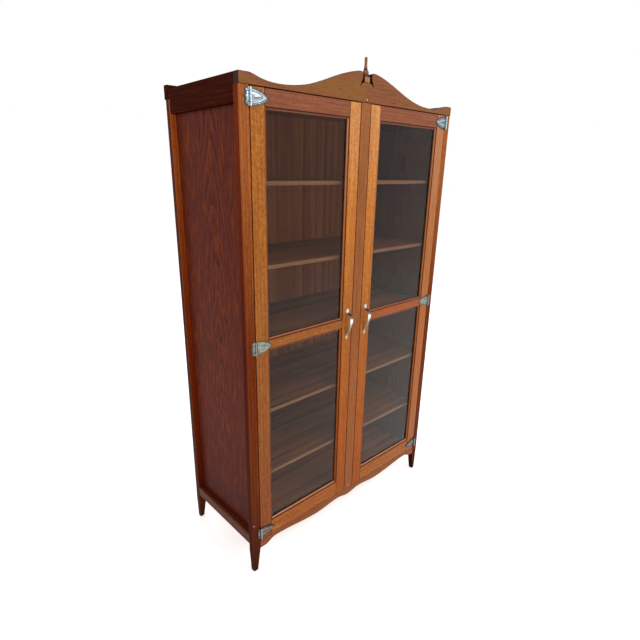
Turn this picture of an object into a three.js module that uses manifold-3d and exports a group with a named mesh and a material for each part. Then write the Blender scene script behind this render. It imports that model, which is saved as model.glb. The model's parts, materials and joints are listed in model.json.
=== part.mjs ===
// Glass display cabinet: a post-and-panel case of five shelves behind two glazed doors.
// Millimetres, +Z up. The cabinet is drawn with X across its width from the middle, Y running
// back from the front face of the posts and Z up from the floor. The finished group is moved so
// that its origin lies under the middle of the whole cabinet. Right-hand pieces are drawn and
// left-hand ones are their mirror images.
import * as THREE from 'three';
import { mergeVertices } from 'three/addons/utils/BufferGeometryUtils.js';
import Module from 'manifold-3d';

const wasm = await Module();
wasm.setup();

// Fits
const fitGap = 0.3; // clearance between pieces that mate
const doorGap = 2; // reveal round each door
const through = 5; // how far a cutter runs past the wood that it opens

// Carcase
const carcaseWidth = 1030;
const carcaseDepth = 423;
const earTop = 1700; // flat ends of the crest board above the floor
const earHeight = 31; // crest board above the posts at its ends

// Posts and legs
const postWidth = 34;
const postDepth = 27;
const arrisRadius = 6.5;
const sideArris = 3; // rounding of the post beside the rails and panel
const legHeight = 100;
const footWidth = 19;
const footDepth = 20;
const footOuterDrift = 2; // how far the leg's outer faces lean in
const footRounding = 3.5;

// Crest board and its cut-out
const crestThickness = 22;
const earFlat = 35;
const crestDip = 17; // lowest point of the top edge, below the ear
const crestDipInset = 140; // that point, in from the end
const crestPeak = 59.5; // highest point above the ear
const crestPeakOffset = 40;
const lipOffset = 25;
const lipHeight = 57.5;
const throatOffset = 22;
const throatHeight = 42;
const notchTipOffset = 32;
const notchTipHeight = 18.5;
const humpHeight = 29.5;
const humpFlat = 13.5;

// Finial
const finialPlinthWidth = 26;
const finialPlinthHeight = 16.3;
const finialPlinthBevel = 1;
const finialNeckRadius = 6.5;
const finialNeckHeight = 4.5;
const finialBallRadius = 9.2;
const finialBallHeight = 13;
const finialSkirtRadius = 7.3;
const finialSkirtHeight = 12;
const finialSpireRadius = 4.4;
const finialSpireHeight = 30;
const finialSpigotRadius = 3;
const finialSpigotLength = 12;

// Apron
const apronThickness = 22;
const apronTop = 131;
const apronFoot = 100;
const apronFootRun = 21; // flat part beside the leg
const apronArch = 117;
const apronArchInset = 71; // highest point of the wave, in from the post
const apronBelly = 99;
const apronBellyOffset = 185;
const apronCusp = 109;
const apronCuspOffset = 65;
const apronLobe = 99;
const apronTenonLength = 14;
const apronTenonHeight = 18;

// Centre stile
const centreStileWidth = 48;
const centreStileThickness = 22;
const stileTenonLength = 12;
const stileTenonWidth = 30;

// Side frames and panels
const sideRailThickness = 31.5;
const sideRecess = 1.5; // rails lie behind the post's outer face
const sideTopRailHeight = 75;
const sideBottomRailHeight = 40;
const sideBottomRailFoot = 122;
const railBevel = 4;
const tenonThickness = 8;
const sideTenonLength = 15;
const sideTenonShoulder = 10;
const sidePanelThickness = 8;
const sidePanelRecess = 22; // panel lies behind the post's outer face
const tongueLength = 6;

// Shelves and boards
const shelfCount = 5;
const shelfThickness = 13;
const shelfPitch = 257;
const firstShelfUnderside = 380.5;
const shelfSetback = 3; // front edge behind the posts
const housingDepth = 4;
const boardThickness = 18;
const boardStop = 10; // how far the boards reach behind the doors

// Back
const backThickness = 6;
const backRebate = 8;
const rearRailHeight = 60;
const rearRailThickness = 18;
const rearTenonThickness = 7;
const rearTenonInset = 3; // from the rail's back face
const rearTenonRise = 3.5; // above the tenon of the side rail
const rearBoardThickness = 22;
const rearBoardOverhang = 4;
const rearEarRise = 12; // above the ears of the crest board
const rearEarFlat = 50;
const rearDip = 15;
const rearDipRun = 60;

// Doors
const doorThickness = 20;
const doorStileWidth = 58;
const doorTopRailHeight = 54;
const doorMiddleRailHeight = 46;
const doorMiddleRailCentre = 775; // above the door's lower edge
const doorBottomRailHeight = 73;
const stickingWidth = 7;
const stickingDepth = 9;
const quirk = 1;
const rebateWidth = 8;
const doorTenonThickness = 7;
const doorTenonLength = 30;
const doorTenonShoulder = 10;
const glassThickness = 3;
const beadBevel = 3;

// Hinges
const hingeHeight = 47;
const barrelRadius = 4.5;
const barrelLift = 4.8; // hinge axis in front of the door's face
const pinRadius = 1.8;
const pinHeadRadius = 3;
const pinHeadHeight = 1.4;
const knuckleCount = 5;
const knuckleGap = 0.35;
const leafThickness = 2;
const leafCrown = 1.5; // raised field above the leaf's rim
const leafRim = 3.5;
const bossRise = 0.7; // inner raised part above the leaf's field
const bossStart = 5;
const bossShare = 0.7; // of the leaf's reach
const bossHeightShare = 0.53; // of the leaf's height
const frameLeafReach = 21;
const frameLeafWidth = 17;
const doorLeafReach = 69;
const hingeTopInset = 27; // top hinge's centre below the door's upper edge
const hingeBottomInset = 36.5;

// Pulls
const pullLength = 122;
const pullCentre = 770; // above the door's lower edge
const pullInset = 25; // from the door's meeting edge
const pullReach = 28;
const pullBend = 24; // highest part of the bow above the pull's centre
const pullFootLength = 22;
const pullFootWidth = 15;
const pullBarWidth = 14;
const pullBarThickness = 7;
const pullFootThickness = 3;

// Catches
const catchWidth = 45;
const catchDepth = 12;
const catchHeight = 14;
const catchInset = 45; // from the door's meeting edge
const polePlateThickness = 1.5;
const polePlateReach = 0.8;
const strikeWidth = 38;
const strikeHeight = 12;
const strikeThickness = 1.2;

// Places that follow from the sizes above
const halfWidth = carcaseWidth / 2;
const postInner = halfWidth - postWidth;
const postRearFront = carcaseDepth - postDepth; // front face of the rear posts
const crestBottom = earTop - earHeight;
const postTop = crestBottom - fitGap;
const doorTop = crestBottom - doorGap;
const doorBottom = apronTop + doorGap;
const doorInner = centreStileWidth / 2 + doorGap;
const doorOuter = postInner - doorGap;
const boardFront = Math.max(crestThickness, apronThickness) + fitGap;
const railOuter = halfWidth - sideRecess;
const railInner = railOuter - sideRailThickness;
const panelOuter = halfWidth - sidePanelRecess;
const panelInner = panelOuter - sidePanelThickness;
const tongueInner = panelOuter - tenonThickness;
const sideFront = postDepth + fitGap;
const sideRear = postRearFront - fitGap;
const sideTopRailFoot = earTop - sideTopRailHeight;
const sideBottomRailTop = sideBottomRailFoot + sideBottomRailHeight;
const backRebateFront = carcaseDepth - backRebate;
const backFront = backRebateFront + fitGap;
const backEdge = postInner + backRebate - fitGap;
const rearRailRear = backRebateFront;
const rearRailFront = rearRailRear - rearRailThickness;
const rearBoardBack = carcaseDepth + rearBoardOverhang;
const rearBoardFront = rearBoardBack - rearBoardThickness;
const topBoardUnderside = doorTop - boardStop;
const bottomBoardTop = doorBottom + boardStop;
const middleRailCentre = doorBottom + doorMiddleRailCentre;
const glassInner = doorInner + doorStileWidth;
const glassOuter = doorOuter - doorStileWidth;
const hingeAxisX = (postInner + doorOuter) / 2;
const pullX = doorInner + pullInset;
const pullZ = doorBottom + pullCentre;
const catchX = doorInner + catchInset;
const pullFront = pullReach + fitGap;
const originY = (rearBoardBack - pullFront) / 2;

// Solids from three.js geometry
function solidFrom(geometry) {
  const bare = geometry.clone();
  bare.deleteAttribute('normal');
  bare.deleteAttribute('uv');
  const merged = mergeVertices(bare, 1e-4);
  const index = merged.index.array;
  const corners = [];
  for (let i = 0; i < index.length; i += 3) {
    const [a, b, c] = [index[i], index[i + 1], index[i + 2]];
    if (a !== b && b !== c && c !== a) corners.push(a, b, c);
  }
  return new wasm.Manifold(new wasm.Mesh({
    numProp: 3,
    vertProperties: Float32Array.from(merged.attributes.position.array),
    triVerts: Uint32Array.from(corners),
  }));
}

function geometryFrom(solid) {
  const mesh = solid.getMesh();
  const geometry = new THREE.BufferGeometry();
  geometry.setAttribute('position', new THREE.BufferAttribute(mesh.vertProperties.slice(), 3));
  geometry.setIndex(new THREE.BufferAttribute(mesh.triVerts.slice(), 1));
  return geometry;
}

function joined(solids) {
  return solids.reduce((whole, next) => whole.add(next));
}

function cutBy(solid, cutters) {
  return cutters.reduce((rest, cutter) => rest.subtract(cutter), solid);
}

// The mirror image in a plane square to X or Y.
function mirrored(solid, axis = 0, plane = 0) {
  const mesh = solid.getMesh();
  const vertProperties = mesh.vertProperties.slice();
  for (let i = axis; i < vertProperties.length; i += 3) {
    vertProperties[i] = 2 * plane - vertProperties[i];
  }
  const triVerts = mesh.triVerts.slice().reverse();
  return new wasm.Manifold(new wasm.Mesh({ numProp: 3, vertProperties, triVerts }));
}

function box(x0, x1, y0, y1, z0, z1) {
  const geometry = new THREE.BoxGeometry(x1 - x0, y1 - y0, z1 - z0);
  geometry.translate((x0 + x1) / 2, (y0 + y1) / 2, (z0 + z1) / 2);
  return solidFrom(geometry);
}

// An outline pushed straight along one axis. Its points are (y, z) for an X prism, (x, z) for a
// Y prism and (x, y) for a Z prism.
const prismTurns = {
  x: new THREE.Matrix4().set(0, 0, 1, 0, 1, 0, 0, 0, 0, 1, 0, 0, 0, 0, 0, 1),
  y: new THREE.Matrix4().makeRotationX(Math.PI / 2),
  z: new THREE.Matrix4(),
};

function prism(axis, outline, from, to) {
  const shape = new THREE.Shape(outline.map(([u, v]) => new THREE.Vector2(u, v)));
  const geometry = new THREE.ExtrudeGeometry(shape, { depth: to - from, bevelEnabled: false });
  geometry.applyMatrix4(prismTurns[axis]);
  const start = { x: [from, 0, 0], y: [0, to, 0], z: [0, 0, from] }[axis];
  geometry.translate(...start);
  return solidFrom(geometry);
}

// A skin stretched over rings of equally many points, closed by a flat cap at each end. The
// rings run anticlockwise round the way from the first to the last.
function loft(rings, capPlane = [0, 1]) {
  const count = rings[0].length;
  const corners = [];
  for (let r = 0; r + 1 < rings.length; r += 1) {
    for (let i = 0; i < count; i += 1) {
      const next = (i + 1) % count;
      const [a, b] = [r * count + i, r * count + next];
      corners.push(a, b, b + count, a, b + count, a + count);
    }
  }
  const capCorners = (ring, offset, facing) => {
    const flat = ring.map((point) => new THREE.Vector2(point[capPlane[0]], point[capPlane[1]]));
    const turned = THREE.ShapeUtils.isClockWise(flat) ? -1 : 1;
    for (const [a, b, c] of THREE.ShapeUtils.triangulateShape(flat, [])) {
      const forward = facing * turned * windingOf(flat, a, b, c) > 0;
      corners.push(offset + a, offset + (forward ? b : c), offset + (forward ? c : b));
    }
  };
  capCorners(rings[0], 0, -1);
  capCorners(rings[rings.length - 1], (rings.length - 1) * count, 1);
  const geometry = new THREE.BufferGeometry();
  const positions = new Float32Array(rings.flat(2));
  geometry.setAttribute('position', new THREE.BufferAttribute(positions, 3));
  geometry.setIndex(corners);
  return solidFrom(geometry);
}

function windingOf(points, a, b, c) {
  const first = points[b].clone().sub(points[a]);
  return Math.sign(first.cross(points[c].clone().sub(points[a])));
}

// A turned piece round a vertical line. The profile runs from the axis at the foot to the axis
// at the top, as points of radius and height.
function turned(profile, segments, x, y) {
  const points = profile.map(([radius, height]) => new THREE.Vector2(radius, height));
  const geometry = new THREE.LatheGeometry(points, segments);
  geometry.rotateX(Math.PI / 2);
  geometry.translate(x, y, 0);
  return solidFrom(geometry);
}

function rod(x, y, radius, z0, z1, segments = 16) {
  return turned([[0, z0], [radius, z0], [radius, z1], [0, z1]], segments, x, y);
}

// Points along a cubic curve, without its first one.
function curve(from, towards, before, to, steps) {
  const path = new THREE.CubicBezierCurve(
    new THREE.Vector2(...from),
    new THREE.Vector2(...towards),
    new THREE.Vector2(...before),
    new THREE.Vector2(...to),
  );
  return path.getPoints(steps).slice(1).map((point) => [point.x, point.y]);
}

// Points of a wave through its highest and lowest places, level at each of them.
function wave(turns, steps) {
  const points = [turns[0]];
  for (let i = 1; i < turns.length; i += 1) {
    const [x0, z0] = turns[i - 1];
    const [x1, z1] = turns[i];
    for (let step = 1; step <= steps; step += 1) {
      const share = step / steps;
      points.push([x0 + (x1 - x0) * share, z0 + (z1 - z0) * (1 - Math.cos(Math.PI * share)) / 2]);
    }
  }
  return points;
}

// A half outline from the middle outwards, with its mirror image added.
function bothHalves(half) {
  const others = half.filter(([x]) => x > 0).map(([x, z]) => [-x, z]);
  return [...half, ...others.reverse()];
}

// Materials
function varnish(color, roughness = 0.32) {
  return new THREE.MeshStandardMaterial({ color, roughness, metalness: 0 });
}

const amberWood = varnish(0xb5702f);
const redWood = varnish(0x935a41);
const sideWood = varnish(0x5e3330);
const darkWood = varnish(0x3a1a10);
const shelfWood = varnish(0xc7a071, 0.45);
const backWood = varnish(0x7a4a30, 0.55);
const nickel = new THREE.MeshStandardMaterial({ color: 0xb9bdbb, roughness: 0.22, metalness: 1 });
const steel = new THREE.MeshStandardMaterial({ color: 0x9a9da0, roughness: 0.4, metalness: 1 });
const plastic = new THREE.MeshStandardMaterial({ color: 0x4a3526, roughness: 0.6, metalness: 0 });
const clearGlass = new THREE.MeshStandardMaterial({
  color: 0xdfe8e6, roughness: 0.03, metalness: 0, transparent: true, opacity: 0.25,
});

// Posts: one square length of wood with a tapered leg at its foot. The outer arris is well rounded
// and the one beside the rails a little.
function postRing(x0, x1, y0, y1, radius, z) {
  const ring = [[x0, y0, z]];
  const arcSteps = 5;
  for (let step = 0; step <= arcSteps; step += 1) {
    const angle = (step / arcSteps - 1) * (Math.PI / 2);
    ring.push([x1 - radius + radius * Math.cos(angle), y0 + radius + radius * Math.sin(angle), z]);
  }
  const sideSteps = 3;
  for (let step = 0; step <= sideSteps; step += 1) {
    const angle = (step / sideSteps) * (Math.PI / 2);
    ring.push([
      x1 - sideArris + sideArris * Math.cos(angle), y1 - sideArris + sideArris * Math.sin(angle), z,
    ]);
  }
  return [...ring, [x0, y1, z]];
}

function postBlank() {
  const footX1 = halfWidth - footOuterDrift;
  const footX0 = footX1 - footWidth;
  const footY0 = footOuterDrift / 2;
  const footY1 = footY0 + footDepth;
  const inset = footRounding;
  return loft([
    postRing(footX0 + inset, footX1 - inset, footY0 + inset, footY1 - inset, arrisRadius / 2, 0),
    postRing(footX0, footX1, footY0, footY1, arrisRadius, footRounding * 1.5),
    postRing(postInner, halfWidth, 0, postDepth, arrisRadius, legHeight),
    postRing(postInner, halfWidth, 0, postDepth, arrisRadius, postTop),
  ]);
}

// Mortises for the side rails and the groove for the side panel, in the post's inner face.
function sideFrameCutters() {
  const x0 = tongueInner - fitGap;
  const x1 = panelOuter + fitGap;
  const mortiseEnd = postDepth - sideTenonLength - fitGap;
  const mortise = (z0, z1) => box(
    x0, x1, mortiseEnd, postDepth + through, z0 + sideTenonShoulder - fitGap,
    z1 - sideTenonShoulder + fitGap,
  );
  return [
    box(x0, x1, postDepth - tongueLength - fitGap, postDepth + through,
      sideBottomRailTop - sideTenonShoulder, postTop + through),
    mortise(sideBottomRailFoot, sideBottomRailTop),
    mortise(sideTopRailFoot, crestBottom),
  ];
}

function apronTenon(clearance) {
  const middle = apronThickness / 2;
  const high = apronTop - (apronTop - apronArch) / 2 + clearance;
  return box(
    postInner - fitGap - through, postInner + apronTenonLength + clearance,
    middle - tenonThickness / 2 - clearance, middle + tenonThickness / 2 + clearance,
    high - apronTenonHeight - clearance * 2, high,
  );
}

// The rear rail's tenon passes above the side rail's and behind the groove for the side panel.
function rearRailTenon(clearance) {
  const rear = rearRailRear - rearTenonInset;
  const low = sideBottomRailTop - sideTenonShoulder + rearTenonRise;
  const high = sideBottomRailFoot + rearRailHeight - sideTenonShoulder;
  return box(
    postInner - fitGap - through, postInner + apronTenonLength + clearance,
    rear - rearTenonThickness - clearance, rear + clearance, low - clearance, high + clearance,
  );
}

function frontPost() {
  return cutBy(postBlank(), [...sideFrameCutters(), apronTenon(fitGap)]);
}

function rearPost() {
  const middleY = carcaseDepth / 2;
  const cutters = sideFrameCutters().map((cutter) => mirrored(cutter, 1, middleY));
  const rebate = box(
    postInner - through, postInner + backRebate, backRebateFront, carcaseDepth + through,
    sideBottomRailFoot, postTop + through,
  );
  return cutBy(mirrored(postBlank(), 1, middleY), [...cutters, rebate, rearRailTenon(fitGap)]);
}

// Crest board: ears at the ends, a long sweep up to a lip on each side of the notch, and a hump
// between the notch's two pointed tips, flat on top where the finial stands.
function crestOutline() {
  const peak = [crestPeakOffset, earTop + crestPeak];
  const dip = [halfWidth - crestDipInset, earTop - crestDip];
  const ear = [halfWidth - earFlat, earTop];
  const tip = [notchTipOffset, earTop + notchTipHeight];
  const throat = [throatOffset, earTop + throatHeight];
  const lip = [lipOffset, earTop + lipHeight];
  const hump = [humpFlat, earTop + humpHeight];
  const sweep = dip[0] - peak[0];
  const half = [
    hump,
    ...curve(hump, [hump[0] + 8, hump[1]], [tip[0] - 5, tip[1] + 3], tip, 4),
    ...curve(tip, [tip[0] - 2, tip[1] + 10], [throat[0], throat[1] - 8], throat, 4),
    ...curve(throat, [throat[0], throat[1] + 7], [lip[0] - 3, lip[1] - 3], lip, 3),
    ...curve(lip, [lip[0] + 5, lip[1] + 2.5], [peak[0] - 6, peak[1] + 0.5], peak, 3),
    ...curve(peak, [peak[0] + sweep / 3, peak[1] - 16], [dip[0] - sweep * 0.45, dip[1]], dip, 16),
    ...curve(dip, [dip[0] + 65, dip[1]], [ear[0] - 18, ear[1]], ear, 8),
    [halfWidth, earTop],
    [halfWidth, crestBottom],
  ];
  return bothHalves(half);
}

function stileTenons(clearance) {
  const middle = centreStileThickness / 2;
  return box(
    -stileTenonWidth / 2 - clearance, stileTenonWidth / 2 + clearance,
    middle - tenonThickness / 2 - clearance, middle + tenonThickness / 2 + clearance,
    apronTop - stileTenonLength - clearance, crestBottom + stileTenonLength + clearance,
  );
}

function crestBoard() {
  const seat = earTop + humpHeight;
  const hole = rod(
    0, crestThickness / 2, finialSpigotRadius + fitGap,
    seat - finialSpigotLength - fitGap, seat + through,
  );
  return cutBy(prism('y', crestOutline(), 0, crestThickness), [stileTenons(fitGap), hole]);
}

// Finial: a square plinth flush with the crest board, a neck and a ball with a skirt above it that
// draws in to a slim straight spire.
function finial() {
  const seat = earTop + humpHeight + fitGap;
  const plinthTop = seat + finialPlinthHeight;
  const ballFoot = plinthTop + finialNeckHeight;
  const ballTop = ballFoot + finialBallHeight;
  const skirtTop = ballTop + finialSkirtHeight;
  const spireTop = skirtTop + finialSpireHeight;
  const half = finialPlinthWidth / 2;
  const inner = half - finialPlinthBevel;
  const ring = (across, inset, z) => [
    [-across, inset, z],
    [across, inset, z],
    [across, crestThickness - inset, z],
    [-across, crestThickness - inset, z],
  ];
  const plinth = loft([
    ring(half, 0, seat),
    ring(half, 0, plinthTop - finialPlinthBevel),
    ring(inner, finialPlinthBevel, plinthTop),
  ]);
  const ball = [];
  const ballSteps = 7;
  for (let step = 0; step <= ballSteps; step += 1) {
    const share = step / ballSteps;
    const swell = Math.sin(share * Math.PI / 2);
    const radius = finialNeckRadius + (finialBallRadius - finialNeckRadius) * swell;
    ball.push([radius, ballFoot + finialBallHeight * share * share]);
  }
  const grooveFoot = ballTop + finialSkirtHeight * 0.6;
  const profile = [
    [0, seat - finialSpigotLength],
    [finialSpigotRadius, seat - finialSpigotLength],
    [finialSpigotRadius, plinthTop - 1],
    [finialNeckRadius, plinthTop - 1],
    ...ball,
    [(finialBallRadius + finialSkirtRadius) / 2 + 0.4, ballTop + finialSkirtHeight * 0.3],
    [finialSkirtRadius, grooveFoot],
    [finialSkirtRadius - 0.9, grooveFoot + 0.8],
    [finialSkirtRadius - 0.8, grooveFoot + 1.8],
    [finialSpireRadius + 0.6, skirtTop - 1.2],
    [finialSpireRadius, skirtTop],
    [finialSpireRadius, spireTop - 2.5],
    [finialSpireRadius - 0.6, spireTop - 1.2],
    [finialSpireRadius - 2, spireTop - 0.3],
    [0, spireTop],
  ];
  return joined([plinth, turned(profile, 24, 0, crestThickness / 2)]);
}

// Centre stile, tenoned into the apron below and the crest board above.
function centreStile() {
  const half = centreStileWidth / 2;
  const body = box(-half, half, 0, centreStileThickness, apronTop + fitGap, postTop);
  return joined([body, stileTenons(0)]);
}

// Apron: a board between the front legs with a waved lower edge and a small lobe in the middle.
function apron() {
  const end = postInner - fitGap;
  const half = [
    [0, apronTop],
    [end, apronTop],
    [end, apronFoot],
    ...wave([
      [end - apronFootRun, apronFoot],
      [end - apronArchInset, apronArch],
      [apronBellyOffset, apronBelly],
      [apronCuspOffset, apronCusp],
      [0, apronLobe],
    ], 8),
  ];
  const board = prism('y', bothHalves(half), 0, apronThickness);
  const whole = joined([board, apronTenon(0), mirrored(apronTenon(0))]);
  return cutBy(whole, [stileTenons(fitGap)]);
}

// Side rails, tenoned into the posts. The top rail laps over the posts' ends, between the crest
// board and the rear board.
function sideTenons(z0, z1) {
  return box(
    tongueInner, panelOuter, postDepth - sideTenonLength,
    postRearFront + sideTenonLength, z0 + sideTenonShoulder, z1 - sideTenonShoulder,
  );
}

function boardHousing(underside) {
  return box(
    railInner - through, railInner + housingDepth + fitGap, 0, carcaseDepth,
    underside - fitGap, underside + boardThickness + fitGap,
  );
}

function panelGroove(z0, z1) {
  return box(tongueInner - fitGap, panelOuter + fitGap, 0, carcaseDepth, z0, z1);
}

function betweenPosts(z0, z1) {
  return box(panelInner - through, halfWidth + through, sideFront, sideRear, z0, z1);
}

function sideTopRail() {
  const outline = [
    [railInner, sideTopRailFoot],
    [railOuter - railBevel / 2, sideTopRailFoot],
    [railOuter, sideTopRailFoot + railBevel],
    [railOuter, earTop],
    [railInner, earTop],
  ];
  const bar = prism('y', outline, boardFront, rearBoardFront - fitGap);
  const lower = bar.intersect(betweenPosts(sideTopRailFoot - through, crestBottom));
  const upper = bar.intersect(box(0, carcaseWidth, 0, carcaseDepth, crestBottom, earTop));
  const body = joined([lower, upper, sideTenons(sideTopRailFoot, crestBottom)]);
  const groove = panelGroove(sideTopRailFoot - through, sideTopRailFoot + tongueLength + fitGap);
  return cutBy(body, [
    groove.intersect(betweenPosts(sideTopRailFoot - through, earTop)),
    boardHousing(topBoardUnderside).intersect(betweenPosts(0, earTop)),
  ]);
}

function sideBottomRail() {
  const outline = [
    [railInner, sideBottomRailFoot],
    [railOuter, sideBottomRailFoot],
    [railOuter, sideBottomRailTop - railBevel],
    [railOuter - railBevel, sideBottomRailTop],
    [railInner, sideBottomRailTop],
  ];
  const bar = prism('y', outline, sideFront, sideRear);
  const body = joined([bar, sideTenons(sideBottomRailFoot, sideBottomRailTop)]);
  const low = sideBottomRailTop - tongueLength - fitGap;
  return cutBy(body, [
    panelGroove(low, sideBottomRailTop + through).intersect(betweenPosts(0, earTop)),
    boardHousing(bottomBoardTop - boardThickness).intersect(betweenPosts(0, earTop)),
  ]);
}

// Side panel: a board with a tongue on all four edges and housings for the shelf ends.
function sidePanel() {
  const board = box(
    panelInner, panelOuter, sideFront, sideRear,
    sideBottomRailTop + fitGap, sideTopRailFoot - fitGap,
  );
  const tongue = box(
    tongueInner, panelOuter, postDepth - tongueLength, postRearFront + tongueLength,
    sideBottomRailTop - tongueLength, sideTopRailFoot + tongueLength,
  );
  const housings = shelfUndersides().map((underside) => box(
    panelInner - through, panelInner + housingDepth + fitGap,
    postDepth + shelfSetback - fitGap, carcaseDepth,
    underside - fitGap, underside + shelfThickness + fitGap,
  ));
  return cutBy(joined([board, tongue]), housings);
}

function shelfUndersides() {
  return Array.from({ length: shelfCount }, (_, k) => firstShelfUnderside + shelfPitch * k);
}

// A board across the case, notched round the posts where it reaches in front of or behind them.
function notchedBoard(end, front, back, underside, thickness) {
  const top = underside + thickness;
  const corner = postInner - fitGap;
  const board = box(-end, end, front, back, underside, top);
  const notches = [];
  if (front < sideFront) {
    notches.push(box(corner, end + through, front - through, sideFront, 0, earTop));
  }
  if (back > sideRear) {
    notches.push(box(corner, end + through, sideRear, back + through, 0, earTop));
  }
  return cutBy(board, [...notches, ...notches.map((notch) => mirrored(notch))]);
}

function bottomBoard() {
  const underside = bottomBoardTop - boardThickness;
  const rear = rearRailFront - fitGap;
  return notchedBoard(railInner + housingDepth, boardFront, rear, underside, boardThickness);
}

function topBoard() {
  const rear = rearBoardFront - fitGap;
  return notchedBoard(railInner + housingDepth, boardFront, rear, topBoardUnderside, boardThickness);
}

function shelf(underside) {
  const front = postDepth + shelfSetback;
  return notchedBoard(panelInner + housingDepth, front, backFront - fitGap, underside, shelfThickness);
}

// Back: a thin panel in the rear posts' rebates, a rail below and a raised board above.
function backPanel() {
  const foot = sideBottomRailFoot + fitGap;
  return box(-backEdge, backEdge, backFront, backFront + backThickness, foot, postTop);
}

function rearBottomRail() {
  const end = postInner - fitGap;
  const foot = sideBottomRailFoot + fitGap;
  const body = box(-end, end, rearRailFront, rearRailRear, foot, foot + rearRailHeight);
  return joined([body, rearRailTenon(0), mirrored(rearRailTenon(0))]);
}

function rearTopRail() {
  const high = earTop + rearEarRise;
  const shoulder = halfWidth - rearEarFlat;
  const half = [
    [0, high - rearDip],
    ...wave([[shoulder - rearDipRun, high - rearDip], [shoulder, high]], 8),
    [halfWidth, high],
    [halfWidth, crestBottom],
  ];
  return prism('y', bothHalves(half), rearBoardFront, rearBoardBack);
}

// Doors. A frame member's section is drawn across its width and depth: it has the moulded
// sticking on the front of an inner edge and the glass rebate behind it.
function mouldedEdge(width, clearance) {
  const start = width - stickingWidth;
  const points = [];
  const arcSteps = 5;
  const across = stickingWidth + clearance;
  const deep = stickingDepth - 2 * quirk + clearance;
  for (let step = 0; step <= arcSteps; step += 1) {
    const angle = (step / arcSteps) * (Math.PI / 2);
    points.push([
      start + across * Math.sin(angle),
      stickingDepth - quirk - deep * Math.cos(angle),
    ]);
  }
  return [
    [start + clearance, -clearance],
    ...points.filter(([u]) => u >= start + clearance),
    [width + clearance, stickingDepth + clearance],
    [width - rebateWidth + clearance, stickingDepth + clearance],
    [width - rebateWidth + clearance, doorThickness + clearance],
  ];
}

function oneEdgeSection(width, clearance = 0) {
  const flat = [[0, doorThickness + clearance], [0, -clearance]];
  return [...flat, ...mouldedEdge(width, clearance)];
}

function twoEdgeSection(width) {
  const right = mouldedEdge(width, 0);
  return [...right, ...right.map(([u, y]) => [width - u, y]).reverse()];
}

function hingeStileBar(clearance = 0) {
  const outline = oneEdgeSection(doorStileWidth, clearance).map(([u, y]) => [doorOuter - u, y]);
  return prism('z', outline, doorBottom - clearance, doorTop + clearance);
}

function meetingStileBar(clearance = 0) {
  const outline = oneEdgeSection(doorStileWidth, clearance).map(([u, y]) => [doorInner + u, y]);
  return prism('z', outline, doorBottom - clearance, doorTop + clearance);
}

// The stub tenons of a rail between z0 and z1, which also cut the stiles' mortises.
function doorTenons(z0, z1, clearance) {
  const middle = (stickingDepth + doorThickness) / 2 - 1;
  const shoulder = doorStileWidth - rebateWidth;
  return box(
    doorInner + shoulder - doorTenonLength - clearance,
    doorOuter - shoulder + doorTenonLength + clearance,
    middle - doorTenonThickness / 2 - clearance, middle + doorTenonThickness / 2 + clearance,
    z0 + doorTenonShoulder - clearance, z1 - doorTenonShoulder + clearance,
  );
}

const doorRailSpans = {
  top: [doorTop - doorTopRailHeight, doorTop],
  middle: [middleRailCentre - doorMiddleRailHeight / 2, middleRailCentre + doorMiddleRailHeight / 2],
  bottom: [doorBottom, doorBottom + doorBottomRailHeight],
};

function doorStile(bar) {
  const mortises = Object.values(doorRailSpans).map(([z0, z1]) => doorTenons(z0, z1, fitGap));
  return cutBy(bar(), mortises);
}

function doorRail(section, [z0, z1]) {
  const shoulder = doorStileWidth - rebateWidth + fitGap;
  const outline = section.map(([v, y]) => [y, v]);
  const bar = prism('x', outline, doorInner + shoulder, doorOuter - shoulder);
  const coped = cutBy(bar, [hingeStileBar(fitGap), meetingStileBar(fitGap)]);
  return joined([coped, doorTenons(z0, z1, 0)]);
}

function doorTopRail() {
  const [z0, z1] = doorRailSpans.top;
  const section = oneEdgeSection(doorTopRailHeight).map(([v, y]) => [z1 - v, y]);
  return doorRail(section, [z0, z1]);
}

function doorMiddleRail() {
  const [z0, z1] = doorRailSpans.middle;
  const section = twoEdgeSection(doorMiddleRailHeight).map(([v, y]) => [z0 + v, y]);
  return doorRail(section, [z0, z1]);
}

function doorBottomRail() {
  const [z0, z1] = doorRailSpans.bottom;
  const section = oneEdgeSection(doorBottomRailHeight).map(([v, y]) => [z0 + v, y]);
  return doorRail(section, [z0, z1]);
}

const paneSpans = {
  upper: [doorRailSpans.middle[1], doorRailSpans.top[0]],
  lower: [doorRailSpans.bottom[1], doorRailSpans.middle[0]],
};

// Glass lies against the back of the sticking and a bead behind it fills the rebate.
function glassPane([z0, z1]) {
  const edge = rebateWidth - fitGap;
  const front = stickingDepth + fitGap;
  return box(
    glassInner - edge, glassOuter + edge, front, front + glassThickness, z0 - edge, z1 + edge,
  );
}

function rectangleRing(x0, x1, z0, z1, y) {
  return [[x0, y, z0], [x0, y, z1], [x1, y, z1], [x1, y, z0]];
}

function glazingBead([z0, z1]) {
  const edge = rebateWidth - fitGap;
  const front = stickingDepth + fitGap + glassThickness + fitGap;
  const frame = box(
    glassInner - edge, glassOuter + edge, front, doorThickness, z0 - edge, z1 + edge,
  );
  const opening = box(glassInner, glassOuter, 0, doorThickness + through, z0, z1);
  const wide = beadBevel + 1;
  const bevel = loft([
    rectangleRing(glassInner, glassOuter, z0, z1, doorThickness - beadBevel),
    rectangleRing(glassInner - wide, glassOuter + wide, z0 - wide, z1 + wide, doorThickness + 1),
  ], [2, 0]);
  return cutBy(frame, [opening, bevel]);
}

// Butterfly hinge. Its outlines are drawn from the axis outwards, with the height from the
// hinge's middle. A leaf is a thin plate with a raised field, joined to its own knuckles.
function leafOutline(reach, shape) {
  const half = shape(reach);
  return [...half, ...half.filter(([, h]) => h > 0).map(([d, h]) => [d, -h]).reverse()];
}

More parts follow.
